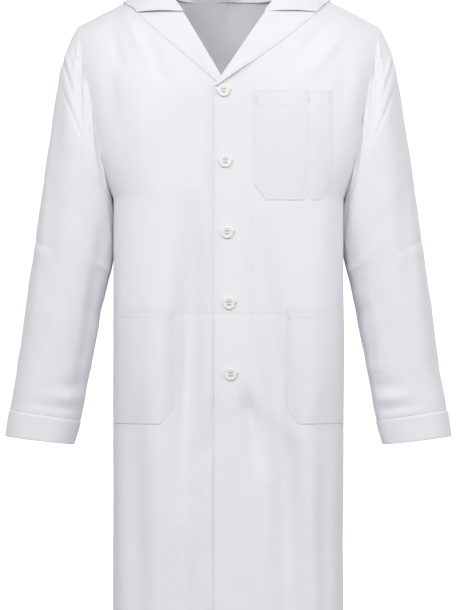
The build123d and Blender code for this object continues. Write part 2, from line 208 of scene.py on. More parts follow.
FRONT_FOLDS = [
    # start, end, width, height: drapes from the shoulders towards the buttons
    ((-172, -40), (-112, -150), 10, 4.0),
    ((-190, -60), (-165, -150), 9, -3.4),
    ((-150, -70), (-92, -175), 12, -3.6),
    ((-62, -175), (-100, -330), 20, -3.4),
    ((-120, -150), (-150, -330), 24, 3.6),
    ((168, -45), (96, -150), 11, -4.0),
    ((190, -70), (120, -160), 10, 3.2),
    ((205, -120), (190, -250), 12, 3.2),
    ((-190, -110), (-176, -250), 12, -3.4),
    # long drapes of the skirt
    ((-60, -330), (-74, -860), 21, -24.0),
    ((-110, -420), (-118, -900), 26, 5.5),
    ((-34, -480), (-30, -900), 11, 3.4),
    ((52, -370), (96, -940), 20, -17.0),
    ((16, -615), (60, -790), 12, -8.5),
    ((-12, -615), (-48, -790), 12, -7.0),
    ((118, -420), (136, -900), 24, 5.5),
    ((-150, -620), (-138, -1160), 20, -9.0),
    ((150, -640), (160, -1160), 20, -9.0),
    ((-60, -720), (-92, -1160), 24, -16.0),
    ((84, -720), (108, -1160), 24, -17.0),
    ((0, -720), (6, -1120), 20, -7.0),
    ((-20, -900), (-16, -1160), 14, 6.0),
    # pulls between the lower buttons
    ((26, -430), (60, -560), 9, -2.4),
    ((-28, -440), (-52, -600), 9, -2.6),
]
BACK_FOLDS = [
    ((-40, -90), (-120, -260), 20, 4.5),
    ((40, -90), (120, -260), 20, 4.5),
    ((-150, -150), (-120, -420), 18, -7.0),
    ((150, -150), (120, -420), 18, -7.0),
    ((-60, -340), (-70, -940), 22, -12.0),
    ((70, -380), (82, -720), 20, -11.0),
    ((-120, -450), (-132, -1150), 24, 7.0),
    ((128, -450), (138, -1150), 24, 7.0),
    ((-20, -240), (-30, -480), 16, -5.0),
]


TENT_TOP = (28.0, -630.0)
TENT_DEPTH = 6.5


def cloud(points, size, seed, octaves=3):
    """Soft noise at points of an (n, 3) array, between about -1 and 1."""
    shift = Vector((seed * 17.3, seed * 5.1, seed * 9.7))
    return np.array(
        [noise.fractal(Vector(p) / size + shift, 0.9, 2.1, octaves) for p in points], float
    )


def tent(x, z):
    """Below the last button the cloth falls back inside a slope that spreads to both sides."""
    fall = TENT_TOP[1] - z
    inside = ease((0.98 * fall - np.abs(x - TENT_TOP[0])) / 46.0)
    far = ease((95.0 - np.abs(x - 36.0)) / 45.0)
    return -TENT_DEPTH * inside * far * (1 - 0.75 * ease((fall - 60.0) / 330.0))


def relief(points):
    """How far the cloth stands out at points of the body, in millimetres."""
    x, y, z = points.T
    front = ease((-20.0 - y) / 40.0)
    back = ease((y - 10.0) / 40.0)
    total = sum(ridge(x, z, *fold) for fold in FRONT_FOLDS) * front + tent(x, z) * front
    total += sum(ridge(x, z, *fold) for fold in BACK_FOLDS) * back
    near_button = sum(
        np.exp(-(((x - bx) / 26.0) ** 2) - (((z - bz) / 30.0) ** 2)) for bx, bz in BUTTONS
    )
    placket = bump(x, -2.0, 24.0) * front
    total *= 1 - np.clip(near_button * front, 0, 1)
    total *= 1 - 0.55 * placket
    waves = cloud(points * (1.0, 1.0, 0.35), 60.0, 1, 2) * 1.5
    waves += cloud(points * (1.0, 1.0, 0.55), 22.0, 2, 2) * 0.35
    total += waves * (1 - 0.8 * np.clip(near_button * front, 0, 1)) * (1 - 0.6 * placket)
    # two faint creases across the fronts, the lower one only towards the sides
    across = -0.5 * bump(z, -526.0, 1.8)
    across -= 0.5 * bump(z, -708.0, 1.6) * ease((np.abs(x) - 120) / 20)
    total += across * front
    # the folds die out towards the shoulder seams
    total *= ease((shoulder_z(x) - z) / 25.0)
    return total


# ---- meshes ----------------------------------------------------------------
def grid_normals(points):
    """Unit normals of a (rows, columns, 3) grid of points."""
    down = np.gradient(points, axis=0)
    along = np.gradient(points, axis=1)
    normal = np.cross(along, down)
    size = np.linalg.norm(normal, axis=2, keepdims=True)
    return normal / np.maximum(size, 1e-9)


def lengths(points, axis):
    step = np.linalg.norm(np.diff(points, axis=axis), axis=2)
    start = np.zeros_like(np.take(points[..., 0], [0], axis=axis))
    return np.concatenate([start, np.cumsum(step, axis=axis)], axis=axis)


def distances(line):
    """How far each point of an (n, 3) line lies along it."""
    step = np.linalg.norm(np.diff(line, axis=0), axis=1)
    return np.concatenate([[0], np.cumsum(step)])


def point_at(distance, along, line):
    """The point of a line, or of its normals, at one distance along it or at several."""
    return np.stack([np.interp(distance, along, line[:, k]) for k in range(3)], axis=-1)


def grid_mesh(name, points, keep=None, closed=False):
    """A mesh of a (rows, columns, 3) grid in millimetres. keep picks its faces."""
    rows, columns = points.shape[:2]
    index = np.arange(rows * columns).reshape(rows, columns)
    if closed:
        index = np.concatenate([index, index[:, :1]], axis=1)
    corners = np.stack([index[:-1, :-1], index[:-1, 1:], index[1:, 1:], index[1:, :-1]], axis=2)
    if keep is not None:
        corners = corners[keep]
    faces = corners.reshape(-1, 4)
    u = lengths(points, 1).reshape(-1) * MM
    v = -lengths(points, 0).reshape(-1) * MM
    used = np.unique(faces)
    renumber = np.full(rows * columns, -1)
    renumber[used] = np.arange(len(used))
    flat = points.reshape(-1, 3)
    mesh = bpy.data.meshes.new(name)
    mesh.from_pydata((flat[used] * MM).tolist(), [], renumber[faces].tolist())
    layer = mesh.uv_layers.new(name="cloth")
    loops = np.zeros(len(mesh.loops), np.int32)
    mesh.loops.foreach_get("vertex_index", loops)
    uv = np.stack([u[used][loops], v[used][loops]], axis=1)
    layer.data.foreach_set("uv", uv.astype(np.float32).ravel())
    mesh.shade_smooth()
    mesh.update()
    made = bpy.data.objects.new(name, mesh)
    bpy.context.scene.collection.objects.link(made)
    return made


# a stitch's rings: share of its length, lift and width, both in radii
STITCH_RINGS = ((0.0, -0.3, 0.5), (0.22, 0.6, 1.0), (0.78, 0.6, 1.0), (1.0, -0.3, 0.5))


def beads(name, runs, radius=0.28, length=2.3, gap=0.9):
    """Stitches along runs: each run is an (n, 3) line on the cloth with an (n, 3) line of normals."""
    vertices, faces = [], []
    for line, normals in runs:
        places = distances(line)
        starts = np.arange(0.5 * gap, places[-1] - length, length + gap)
        if not len(starts):
            continue
        a, b = point_at(starts, places, line), point_at(starts + length, places, line)
        out = point_at(starts + length / 2, places, normals)
        out /= np.maximum(np.linalg.norm(out, axis=1, keepdims=True), 1e-9)
        along = b - a
        side = np.cross(along, out)
        side /= np.maximum(np.linalg.norm(side, axis=1, keepdims=True), 1e-9)
        for i in range(len(starts)):
            base = len(vertices)
            for share, lift, width in STITCH_RINGS:
                middle = a[i] + along[i] * share + out[i] * radius * lift
                for turn in (0.0, 0.5 * math.pi, math.pi, 1.5 * math.pi):
                    swing = side[i] * math.cos(turn) * width
                    swing = swing + out[i] * math.sin(turn) * width * 0.8
                    vertices.append((middle + swing * radius) * MM)
            for ring in range(3):
                for k in range(4):
                    p, q = base + ring * 4 + k, base + ring * 4 + (k + 1) % 4
                    faces.append((p, q, q + 4, p + 4))
            faces.append((base + 3, base + 2, base + 1, base))
            faces.append((base + 12, base + 13, base + 14, base + 15))
    mesh = bpy.data.meshes.new(name)
    mesh.from_pydata(vertices, [], faces)
    mesh.shade_smooth()
    made = bpy.data.objects.new(name, mesh)
    bpy.context.scene.collection.objects.link(made)
    made.data.materials.append(thread)
    return made


def thicken(piece, thickness=CLOTH):
    """Gives a sheet its thickness, on its inner side, with a crisp border."""
    mesh = piece.data
    used = {}
    for polygon in mesh.polygons:
        for key in polygon.edge_keys:
            used[key] = used.get(key, 0) + 1
    sharp = [used[tuple(sorted(edge.vertices))] == 1 for edge in mesh.edges]
    mesh.attributes.new("sharp_edge", "BOOLEAN", "EDGE").data.foreach_set("value", sharp)
    solid = piece.modifiers.new("thickness", "SOLIDIFY")
    solid.thickness = thickness * MM
    solid.offset = -1.0
    solid.use_rim = True
    return piece


# ---- materials -------------------------------------------------------------
def new_material(name, settings):
    """A material with its shader's inputs set. Returns it, its nodes and links, and the shader."""
    material = bpy.data.materials.new(name)
    material.use_nodes = True
    shader = material.node_tree.nodes["Principled BSDF"]
    for key, value in settings.items():
        shader.inputs[key].default_value = value
    return material, material.node_tree.nodes, material.node_tree.links, shader


def new_node(nodes, kind, **settings):
    made = nodes.new(kind)
    for key, value in settings.items():
        made.inputs[key].default_value = value
    return made


def cloth_material(name, colour, rib=0.0009, mottle=0.02):
    """White twill: diagonal ribs of a width, with painted shade in the ribs' grooves, a little fuzz and a slow
    unevenness in the colour.
    """
    material, nodes, links, shader = new_material(
        name,
        {"Roughness": 0.82, "Sheen Weight": 0.12, "Sheen Roughness": 0.5, "Specular IOR Level": 0.25},
    )
    uv = nodes.new("ShaderNodeUVMap")
    uv.uv_map = "cloth"
    turned = new_node(nodes, "ShaderNodeMapping", Rotation=(0, 0, math.radians(62)))
    # the wave's period is 0.31416 over its scale, and holds one rib and one groove
    ribs = new_node(
        nodes, "ShaderNodeTexWave", Scale=0.31416 / rib / 2, Distortion=1.2, Detail=1.0
    )
    ribs.bands_direction = "X"
    links.new(uv.outputs["UV"], turned.inputs["Vector"])
    links.new(turned.outputs["Vector"], ribs.inputs["Vector"])

    where = nodes.new("ShaderNodeTexCoord")
    slow = new_node(nodes, "ShaderNodeTexNoise", Scale=9.0, Detail=3.0)
    fuzz = new_node(nodes, "ShaderNodeTexNoise", Scale=650.0, Detail=2.0)
    links.new(where.outputs["Object"], slow.inputs["Vector"])
    links.new(where.outputs["Object"], fuzz.inputs["Vector"])

    dark = (*[c * (1 - mottle) for c in colour], 1)
    light = (*[min(1, c * (1 + 0.5 * mottle)) for c in colour], 1)
    shade = new_node(nodes, "ShaderNodeMixRGB", Color1=dark, Color2=light)
    links.new(slow.outputs["Fac"], shade.inputs["Fac"])
    # the grooves between the ribs are painted 5% darker: painted shade of the weave
    painted_groove_shade = new_node(nodes, "ShaderNodeMixRGB", Fac=0.05)
    painted_groove_shade.blend_type = "MULTIPLY"
    links.new(shade.outputs["Color"], painted_groove_shade.inputs["Color1"])
    links.new(ribs.outputs["Color"], painted_groove_shade.inputs["Color2"])
    links.new(painted_groove_shade.outputs["Color"], shader.inputs["Base Color"])

    heights = nodes.new("ShaderNodeMath")
    heights.operation = "MULTIPLY_ADD"
    heights.inputs[1].default_value = 0.5
    links.new(fuzz.outputs["Fac"], heights.inputs[0])
    links.new(ribs.outputs["Fac"], heights.inputs[2])
    relief_node = new_node(nodes, "ShaderNodeBump", Strength=0.25, Distance=0.00012)
    links.new(heights.outputs["Value"], relief_node.inputs["Height"])
    links.new(relief_node.outputs["Normal"], shader.inputs["Normal"])
    return material


def thread_material(name, dark, light):
    """Sewing thread: a fine twist of a darker and a lighter shade."""
    material, nodes, links, shader = new_material(name, {"Roughness": 0.6, "Sheen Weight": 0.2})
    where = nodes.new("ShaderNodeTexCoord")
    twist = new_node(nodes, "ShaderNodeTexWave", Scale=900.0)
    twist.bands_direction = "DIAGONAL"
    links.new(where.outputs["Object"], twist.inputs["Vector"])
    shade = new_node(nodes, "ShaderNodeMixRGB", Color1=(*dark, 1), Color2=(*light, 1))
    links.new(twist.outputs["Fac"], shade.inputs["Fac"])
    links.new(shade.outputs["Color"], shader.inputs["Base Color"])
    return material


def button_material():
    """Pale ivory resin with faint swirls and a gloss over it."""
    material, nodes, links, shader = new_material(
        "button_plastic",
        {
            "Roughness": 0.28,
            "Coat Weight": 0.35,
            "Subsurface Weight": 0.08,
            "Subsurface Radius": (0.002, 0.0016, 0.0012),
        },
    )
    where = nodes.new("ShaderNodeTexCoord")
    swirl = new_node(nodes, "ShaderNodeTexNoise", Scale=160.0, Detail=4.0, Distortion=1.6)
    links.new(where.outputs["Object"], swirl.inputs["Vector"])
    ivory, pale_ivory = (0.79, 0.785, 0.73, 1), (0.87, 0.865, 0.825, 1)
    shade = new_node(nodes, "ShaderNodeMixRGB", Color1=ivory, Color2=pale_ivory)
    links.new(swirl.outputs["Fac"], shade.inputs["Fac"])
    links.new(shade.outputs["Color"], shader.inputs["Base Color"])
    return material


WHITE = (0.83, 0.84, 0.87)
twill = cloth_material("twill", WHITE)
# the pockets' twill, a darker copy of the same cloth: painted shade
shaded_pocket_twill = cloth_material("shaded_pocket_twill", tuple(c * 0.975 for c in WHITE))
# the facings' twill, a darker copy of the same cloth: painted shade
shaded_facing_twill = cloth_material("shaded_facing_twill", tuple(c * 0.97 for c in WHITE))
# the collar's and lapels' twill, a slightly lighter copy of the same cloth: painted light
lit_collar_twill = cloth_material("lit_collar_twill", tuple(c * 1.005 for c in WHITE))
tape = cloth_material("tape", (0.86, 0.86, 0.86), rib=0.0006, mottle=0.01)
thread = thread_material("thread", (0.80, 0.81, 0.82), (0.89, 0.90, 0.91))
# thread on the buttons, darkened: painted shade in the button's holes and wells
button_thread = thread_material("button_thread", (0.40, 0.38, 0.33), (0.55, 0.53, 0.47))
button_look = button_material()


def dress(piece, material):
    piece.data.materials.clear()
    piece.data.materials.append(material)
    return piece


def place(piece, body):
    """body is one body's name, which the piece is attached to, or a tuple (body, body, start, end) for cloth
    between two bodies; such a piece only has its transform baked in, and the tuple's parts are not used.
    """
    if isinstance(body, str):
        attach(piece, body)
    else:
        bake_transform(piece)
    return piece


STILL = "coat_body"
SWINGING = ("coat_body", "left_skirt", (0, 0, DOOR[0]), (0, 0, DOOR[1]))
VENTED = ("coat_body", "vent", (0, 0, VENT_TOP), (0, 0, VENT_TOP - 200))


# ---- body panels -----------------------------------------------------------
LOWER_ROWS = spaced(
    HEM_Z,
    ARMPIT_Z,
    5.0,
    extra=[z + d for _, z in BUTTONS for d in (-SLIT, SLIT)]
    + [-526.0, -527.5, -524.5, VENT_TOP, HEM_Z + HEM_LINE, HEM_Z + HEM_LINE + 2, -708.0],
)
UPPER_COUNT = 84


def roll_x(z, sign):
    """x of a lapel's roll line at a height, in a frame mirrored for the right front."""
    neck = LEFT_NECK if sign > 0 else -RIGHT_NECK
    bottom = V_BOTTOM[0] * sign
    return bottom + (neck - bottom) * (z - V_BOTTOM[1]) / -V_BOTTOM[1]


def front_edge(z, sign):
    """x of a front's inner edge at a height, in the same frame."""
    edge = LEFT_EDGE if sign > 0 else -RIGHT_EDGE
    return np.maximum(edge, roll_x(z, sign))


def neckline_z(x, half, middle_y):
    """Height of the back's top edge: an oval round the neck, then the shoulder seam."""
    share = 1 - np.clip(np.abs(x) / half, 0, 1) ** 2
    drop = 1 - np.sqrt(1 - share * ((middle_y - MIDDLE_Y) / BACK_DEPTH) ** 2)
    return shoulder_z(x) - BACK_FALL * drop


def panel_points(side, inner, seams, top):
    """Grid of a front (side -1) or back (1) panel for x above 0, from its inner edge to the
    side seam and armhole, and from the hem to the shoulder. top gives the height of the
    panel's top edge at x. Returns the points and the column of the swinging hinge."""
    fixed = spaced(0.0, 100.0, 4.2, extra=seams)
    hinge_share = HINGE_ANGLE / (math.pi / 2)
    across = spaced(0.0, 1.0, 1 / 34, extra=(hinge_share,))
    k = int(np.argmin(np.abs(across - hinge_share)))
    depth = FRONT_DEPTH if side < 0 else BACK_DEPTH
    end_x, end_z = inner(1.0)
    slits = [(z + d - ARMPIT_Z) / (end_z - ARMPIT_Z) for _, z in BUTTONS for d in (-SLIT, SLIT)]
    slits = [share for share in slits if share > 0.01]
    upper = [1 - (1 - t) ** 1.7 for t in np.linspace(0, 1, UPPER_COUNT)[1:]]
    upper = [u for u in upper if all(abs(u - share) > 0.004 for share in slits)] + slits
    shares = [0.0] * len(LOWER_ROWS) + sorted(upper)
    last_x, last_z = SHOULDER_END, float(shoulder_z(SHOULDER_END))
    rows = []
    for row, share in enumerate(shares):
        low = LOWER_ROWS[min(row, len(LOWER_ROWS) - 1)]
        z_out = low + (last_z - low) * share
        x_in, z_in = inner(share) if share > 0 else (float(inner(low)), low)
        x_out = float(armhole_x(z_out))
        if x_in > 60:
            start = x_in + (max(100.0, x_in + 4) - x_in) * fixed / 100.0
        else:
            near = x_in + (60 - x_in) * fixed / 60.0
            stays = (fixed > max(x_in, 0) + 4) & (fixed <= 60) & (x_in <= 0)
            start = np.where(stays | (fixed > 60), fixed, near)
            start = np.maximum.accumulate(start)
        turn_x = start[-1]
        if share == 0:
            first = float(angle_at(turn_x, z_in, side))
            middle = np.concatenate(
                [
                    np.linspace(first, HINGE_ANGLE, k + 1),
                    np.linspace(HINGE_ANGLE, math.pi / 2, len(across) - k)[1:],
                ]
            )
            x_turn, y_turn = round_point(middle, side)
            x = np.concatenate([start, x_turn[1:]])
            z = np.full(len(x), z_in)
            y = np.concatenate([body_y(start, z[: len(start)], side), y_turn[1:]])
        else:
            hole = float(armhole_share(z_out))
            virtual = x_out / (1 - hole**4) ** 0.25
            first = math.atan2(turn_x, depth * max(1 - (turn_x / virtual) ** 4, 1e-6) ** 0.25)
            end = math.atan2(x_out, depth * hole)
            through = first + (end - first) * (HINGE_ANGLE - 0.75) / (math.pi / 2 - 0.75)
            middle = np.concatenate(
                [np.linspace(first, through, k + 1), np.linspace(through, end, len(across) - k)[1:]]
            )
            reach = ((np.sin(middle) / virtual) ** 4 + (np.cos(middle) / depth) ** 4) ** -0.25
            x_turn = reach * np.sin(middle)
            x_turn[-1] = x_out
            x = np.concatenate([start, x_turn[1:]])
            z = z_in + (z_out - z_in) * (np.clip(x - x_in, 0, None) / (x_out - x_in)) ** 1.6
            straight = np.clip(x - end_x, 0, None) / (last_x - end_x)
            straight = end_z + (last_z - end_z) * straight**1.6
            z = z + share**2 * (top(np.maximum(x, end_x)) - straight)
            z = np.minimum(z, shoulder_z(x))
            y = body_y(x, z, side)
        rows.append(np.stack([x, y, z], axis=1))
    return np.array(rows), len(fixed) + k - 1


def seam_columns(x):
    """Columns at a line of stitches and close to it on both sides."""
    return (x, x - 1.6, x + 1.6)


def edge_path(sign):
    """The inner edge of a front: by height below the armpit, by share of its rise above it."""
    end_z = NECK_ENDS[sign][1]

    def path(value):
        if value <= 0:
            return front_edge(value, sign)
        z = ARMPIT_Z + (end_z - ARMPIT_Z) * value
        return float(front_edge(z, sign)), z

    return path


def centre_path(value):
    """The centre back seam, in the same way."""
    if value <= 0:
        return 0.0
    return 0.0, ARMPIT_Z + (-10.0 - ARMPIT_Z) * value


def mirrored(points, sign):
    out = points.copy()
    out[..., 0] *= sign
    return out


def outward(points, side):
    """Normals of a panel's grid, pointing away from the body's middle."""
    normals = grid_normals(points)
    facing = normals[..., 1] * side + normals[..., 0] * np.sign(points[..., 0]) * 0.5
    return normals * (1.0 if facing.mean() > 0 else -1.0)


def raised(points, normals, extra=0.0):
    """Points moved out by the folds and by extra."""
    flat = points.reshape(-1, 3)
    amount = relief(flat).reshape(points.shape[:2]) + extra
    return points + normals * amount[..., None]


def lap(x):
    """How far the left front stands off where it lies over the right front."""
    return LAP * (1 - ease((x - 14.0) / 24.0))


def oriented(piece, want):
    """Turns a mesh so that its faces, taken together, look the way of a vector."""
    mesh = piece.data
    total = Vector((0, 0, 0))
    for polygon in mesh.polygons:
        total += polygon.normal * polygon.area
    if total.dot(Vector(want)) < 0:
        mesh.flip_normals()
    return piece


def outside_buttonholes(points):
    """Which faces of a front's grid to keep, so that the buttonholes are slits."""
    middle = (points[:-1, :-1] + points[1:, 1:]) / 2
    thin = np.abs(points[1:, :-1, 2] - points[:-1, :-1, 2]) < 3 * SLIT
    keep = np.ones(thin.shape, bool)
    for bx, bz in BUTTONS:
        level = np.abs(middle[..., 2] - bz) < 1.2
        keep &= ~(level & thin & (middle[..., 0] > bx - 3.5) & (middle[..., 0] < bx + 11.0))
    return keep


def left_front():
    points, hinge_column = panel_points(-1, edge_path(1), seam_columns(FACING_EDGE), shoulder_z)
    normals = outward(points, -1)
    shaped = raised(points, normals, lap(points[..., 0]))
    keep = outside_buttonholes(shaped)
    door_side = np.zeros_like(keep)
    door_side[: len(LOWER_ROWS) - 1, hinge_column:] = True
    shell = grid_mesh("left_front_cloth", shaped, keep & ~door_side)
    oriented(shell, FORWARD)
    side = grid_mesh("left_front_side_cloth", shaped, door_side)
    oriented(side, (1, 0, 0))
    for piece in (shell, side):
        dress(thicken(piece), twill)
    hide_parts("left_front_chest", "left_front_skirt")
    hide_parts("left_front_side")
    place(shell, SWINGING)
    place(side, STILL)
    return shell, side, shaped, outward(shaped, -1), hinge_column


def right_front():
    points, _ = panel_points(-1, edge_path(-1), seam_columns(RIGHT_FACING_LINE), shoulder_z)
    points = mirrored(points, -1)
    normals = outward(points, -1)
    shaped = raised(points, normals)
    shell = grid_mesh("right_front_cloth", shaped)
    oriented(shell, FORWARD)
    dress(thicken(shell), twill)
    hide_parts("right_front")
    place(shell, STILL)
    return shell, shaped, outward(shaped, -1)


left_shell, left_side, left_points, left_normals, left_side_column = left_front()
right_shell, right_points, right_normals = right_front()


def back_panels():
    made = {}
    for name, sign in (("left", 1), ("right", -1)):
        half = NECK_ENDS[sign][0]
        points, _ = panel_points(
            1, centre_path, (2.0, VENT_HINGE), lambda x: neckline_z(x, half, 63.5)
        )
        points = mirrored(points, sign)
        normals = outward(points, 1)
        shaped = raised(points, normals)
        keep = np.ones((shaped.shape[0] - 1, shaped.shape[1] - 1), bool)
        if sign > 0:
            middle = (shaped[:-1, :-1] + shaped[1:, 1:]) / 2
            keep &= ~((middle[..., 2] < VENT_TOP) & (middle[..., 0] < VENT_HINGE))
        shell = grid_mesh(f"back_{name}_cloth", shaped, keep)
        oriented(shell, BACKWARD)
        dress(thicken(shell), twill)
        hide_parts(f"back_{name}")
        place(shell, STILL)
        made[name] = (shell, shaped, outward(shaped, 1))
    return made


backs = back_panels()


def vent_flap():
    """The free lower edge of the left back, which laps over the right back."""
    z = spaced(HEM_Z, VENT_TOP + 8, 5.0, extra=(VENT_TOP,))
    x = spaced(-15.0, VENT_HINGE, 4.0)
    grid_x, grid_z = np.meshgrid(x, z)
    y = body_y(grid_x, grid_z, 1)
    points = np.stack([grid_x, y, grid_z], axis=2)
    normals = outward(points, 1)
    extra = 2.6 * (1 - ease((grid_x - 30.0) / 60.0))
    shaped = raised(points, normals, extra)
    shell = grid_mesh("vent_flap_cloth", shaped)
    oriented(shell, BACKWARD)
    dress(thicken(shell), twill)
    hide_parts("vent_flap")
    place(shell, VENTED)
    return shell, shaped, outward(shaped, 1)


vent_shell, vent_points, vent_normals = vent_flap()


# ---- sleeves ---------------------------------------------------------------
# Stations from the armhole to the cuff: outer edge, inner edge (x, z) and half depth.
SLEEVE = [
    ((240, -69), (183, -343), 66),
    ((262, -112), (181, -356), 75),
    ((272, -172), (178.5, -372), 78),
    ((287, -268), (177.5, -398), 73),
    ((298, -346), (184, -440), 66),
    ((313.6, -455), (196, -492), 58),
    ((334, -596), (218, -605), 50),
    ((348, -679), (236, -696), 46),
    ((354, -718), (246, -731), 45),
]
SLEEVE_Y = -6.0
SLEEVE_COLUMNS = 84
SLEEVE_ROUNDNESS = 2 / 2.25  # 1 is an ellipse, less is squarer


def sleeve_points(extra_rows):
    """Rings of the left sleeve, from the armhole to the cuff, as a (rings, columns, 3) grid."""
    count = len(SLEEVE) - 1
    outer = spline([(k, s[0]) for k, s in enumerate(SLEEVE)])
    inner = spline([(k, s[1]) for k, s in enumerate(SLEEVE)])
    depth = spline([(k, s[2]) for k, s in enumerate(SLEEVE)])
    turn = np.linspace(0, 2 * math.pi, SLEEVE_COLUMNS, endpoint=False)
    along = spaced(0.0, count, 0.048, extra=extra_rows)
    rings = []
    for t in along:
        o, i, b = outer(t), inner(t), depth(t)
        centre, reach = (o + i) / 2, (o - i) / 2
        c, s = np.cos(turn), np.sin(turn)
        c2 = np.sign(c) * np.abs(c) ** SLEEVE_ROUNDNESS
        s2 = np.sign(s) * np.abs(s) ** SLEEVE_ROUNDNESS
        x = centre[0] + reach[0] * c2
        z = centre[1] + reach[1] * c2
        y = SLEEVE_Y - b * s2
        # near the armhole the ring is the armhole itself
        hole_z = -207.0 + 138.0 * c
        hole_x = armhole_x(hole_z)
        hole_y = np.where(s > 0, body_y(hole_x, hole_z, -1), body_y(hole_x, hole_z, 1))
        w = ease(t / 1.6)
        ring, hole = np.stack([x, y, z], axis=1), np.stack([hole_x, hole_y, hole_z], axis=1)
        rings.append(ring * w + hole * (1 - w))
    return along, np.array(rings)


def sleeve_relief(points, along, sign):
    """Folds of a sleeve: gathers at the armhole, pulls above the cuff, soft bends."""
    rings, columns = points.shape[:2]
    turn = np.linspace(0, 2 * math.pi, columns, endpoint=False)[None, :]
    t = along[:, None]
    total = np.zeros((rings, columns))
    for angle, tilt, start, end, width, height in SLEEVE_FOLDS:
        middle = angle + tilt * (t - start)
        away = np.abs((turn - middle + math.pi) % (2 * math.pi) - math.pi)
        share = np.clip((t - start) / (end - start), 0, 1)
        total += height * np.exp(-((away / width) ** 2)) * np.sin(np.pi * share) ** 0.8
    flat = points.reshape(-1, 3)
    total += (cloud(flat * (1, 1, 0.5), 45.0, 5 + sign, 2) * 1.6).reshape(rings, columns)
    total += (cloud(flat * (1, 1, 0.8), 16.0, 8 + sign, 2) * 0.4).reshape(rings, columns)
    for level, angle, spread, width, height in SLEEVE_CREASES:
        away = np.abs((turn - angle + math.pi) % (2 * math.pi) - math.pi)
        total += height * np.exp(-((away / spread) ** 2)) * np.exp(-(((t - level) / width) ** 2))
    total *= ease(t / 0.35)
    total *= 1 - 0.75 * ease((t - 6.9) / 0.15)
    return total


# angle (0 is the outer edge, half pi the front, pi the inner edge), tilt, start, end, width, height
SLEEVE_FOLDS = [
    (0.9, 0.55, 0.05, 1.5, 0.09, -5.0),
    (1.2, 0.50, 0.05, 1.7, 0.10, 4.2),
    (1.55, 0.42, 0.05, 1.9, 0.09, -4.6),
    (0.45, 0.5, 0.05, 1.3, 0.09, 3.6),
    (1.9, 0.3, 0.1, 2.4, 0.13, 3.2),
    (2.3, 0.15, 0.4, 3.4, 0.16, -4.0),
    (0.3, 0.12, 1.4, 6.0, 0.22, 2.4),
    (1.3, 0.05, 2.2, 6.4, 0.26, 3.0),
    (2.2, 0.08, 3.0, 6.8, 0.20, -3.2),
    (-0.8, -0.2, 0.1, 3.0, 0.16, 3.0),
    (-1.6, -0.1, 0.5, 5.5, 0.22, 3.0),
    (-2.4, -0.1, 2.5, 6.6, 0.22, -3.0),
]
# station, angle, spread round the sleeve, width along it, height
SLEEVE_CREASES = [
    (1.32, 0.50, 0.42, 0.060, -3.0),
    (1.16, 0.55, 0.40, 0.075, 2.6),
    (0.80, 0.95, 0.35, 0.060, -2.0),
    (1.75, 1.10, 0.45, 0.090, -1.6),
    (4.6, 0.55, 0.5, 0.05, -1.6),
    (4.75, 0.6, 0.45, 0.06, 1.3),
    (6.35, 2.3, 0.55, 0.09, -3.6),
    (6.55, 2.2, 0.5, 0.08, 3.2),
    (6.75, 2.1, 0.6, 0.07, -2.4),
    (6.05, 2.5, 0.5, 0.08, 2.2),
    (5.3, 2.6, 0.5, 0.12, -3.0),
    (4.4, 2.5, 0.5, 0.14, 3.0),
]
ELBOW_SPLIT = 4.62  # station between the upper and the lower sleeve cloth
CUFF_LINE = 7.0
# where a bend of the cloth would go: a point, the arm's direction there, and how far the bend reaches; place
# doesn't use them, so no bend is made
SHOULDER_BEND = ((233.0, 0, -68.0), (0.984, 0, -0.18), (-1.0, 46.0))
ELBOW_BEND = ((256.2, 0, -480.0), (0.186, 0, -0.983), (-26.0, 42.0))


def bend(sign, point, direction, reach):
    """Start and end of a bend on the left (1) or right (-1) arm."""
    point, direction = np.array(point) * (sign, 1, 1), np.array(direction) * (sign, 1, 1)
    return point + direction * reach[0], point + direction * reach[1]


def sleeves():
    """Both sleeves and cuffs, by side: pieces, their points and normals, and rows of note."""
    made = {}
    along, rings = sleeve_points((CUFF_LINE, CUFF_LINE - 0.03, CUFF_LINE + 0.03, ELBOW_SPLIT))
    split = int(np.argmin(np.abs(along - ELBOW_SPLIT)))
    cuff = int(np.argmin(np.abs(along - CUFF_LINE)))
    for name, sign in (("left", 1), ("right", -1)):
        normals = grid_normals(np.concatenate([rings, rings[:, :1]], axis=1))[:, :-1]
        centre = rings.mean(axis=1, keepdims=True)
        if ((rings - centre) * normals).sum() < 0:
            normals = -normals
        amount = sleeve_relief(rings, along, sign)
        amount[cuff - 1 : cuff + 1] -= 0.5
        shaped = rings + normals * amount[..., None]
        # the sleeve's end goes under the armhole edge
        tuck = shaped[0] - normals[0] * 1.4
        inward = np.array([-5.0, 0.0, 0.5])
        shaped = np.concatenate([(tuck + inward)[None], tuck[None] + inward * 0.2, shaped[1:]])
        shaped = mirrored(shaped, sign)
        normals = mirrored(np.concatenate([normals[:1], normals]), sign)
        cut, wrist = split + 1, cuff + 1
        upper = grid_mesh(f"{name}_upper_sleeve_cloth", shaped[: cut + 1], closed=True)
        lower = grid_mesh(f"{name}_lower_sleeve_cloth", shaped[cut : wrist + 1], closed=True)
        band_points = cuff_band(shaped[wrist - 1 :], normals[wrist - 1 :])
        band = grid_mesh(f"{name}_cuff_cloth", band_points, closed=True)
        for piece in (upper, lower, band):
            face_out(piece)
            dress(thicken(piece), twill)
        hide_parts(f"{name}_upper_sleeve")
        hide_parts(f"{name}_lower_sleeve")
        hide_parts(f"{name}_cuff")
        place(upper, (STILL, f"{name}_upper_arm", *bend(sign, *SHOULDER_BEND)))
        arm = (f"{name}_upper_arm", f"{name}_forearm", *bend(sign, *ELBOW_BEND))
        place(lower, arm)
        place(band, f"{name}_forearm")
        made[name] = dict(
            upper=upper, lower=lower, band=band, points=shaped, normals=normals,
            elbow=cut, wrist=wrist, arm=arm, band_points=band_points,
        )
    return made


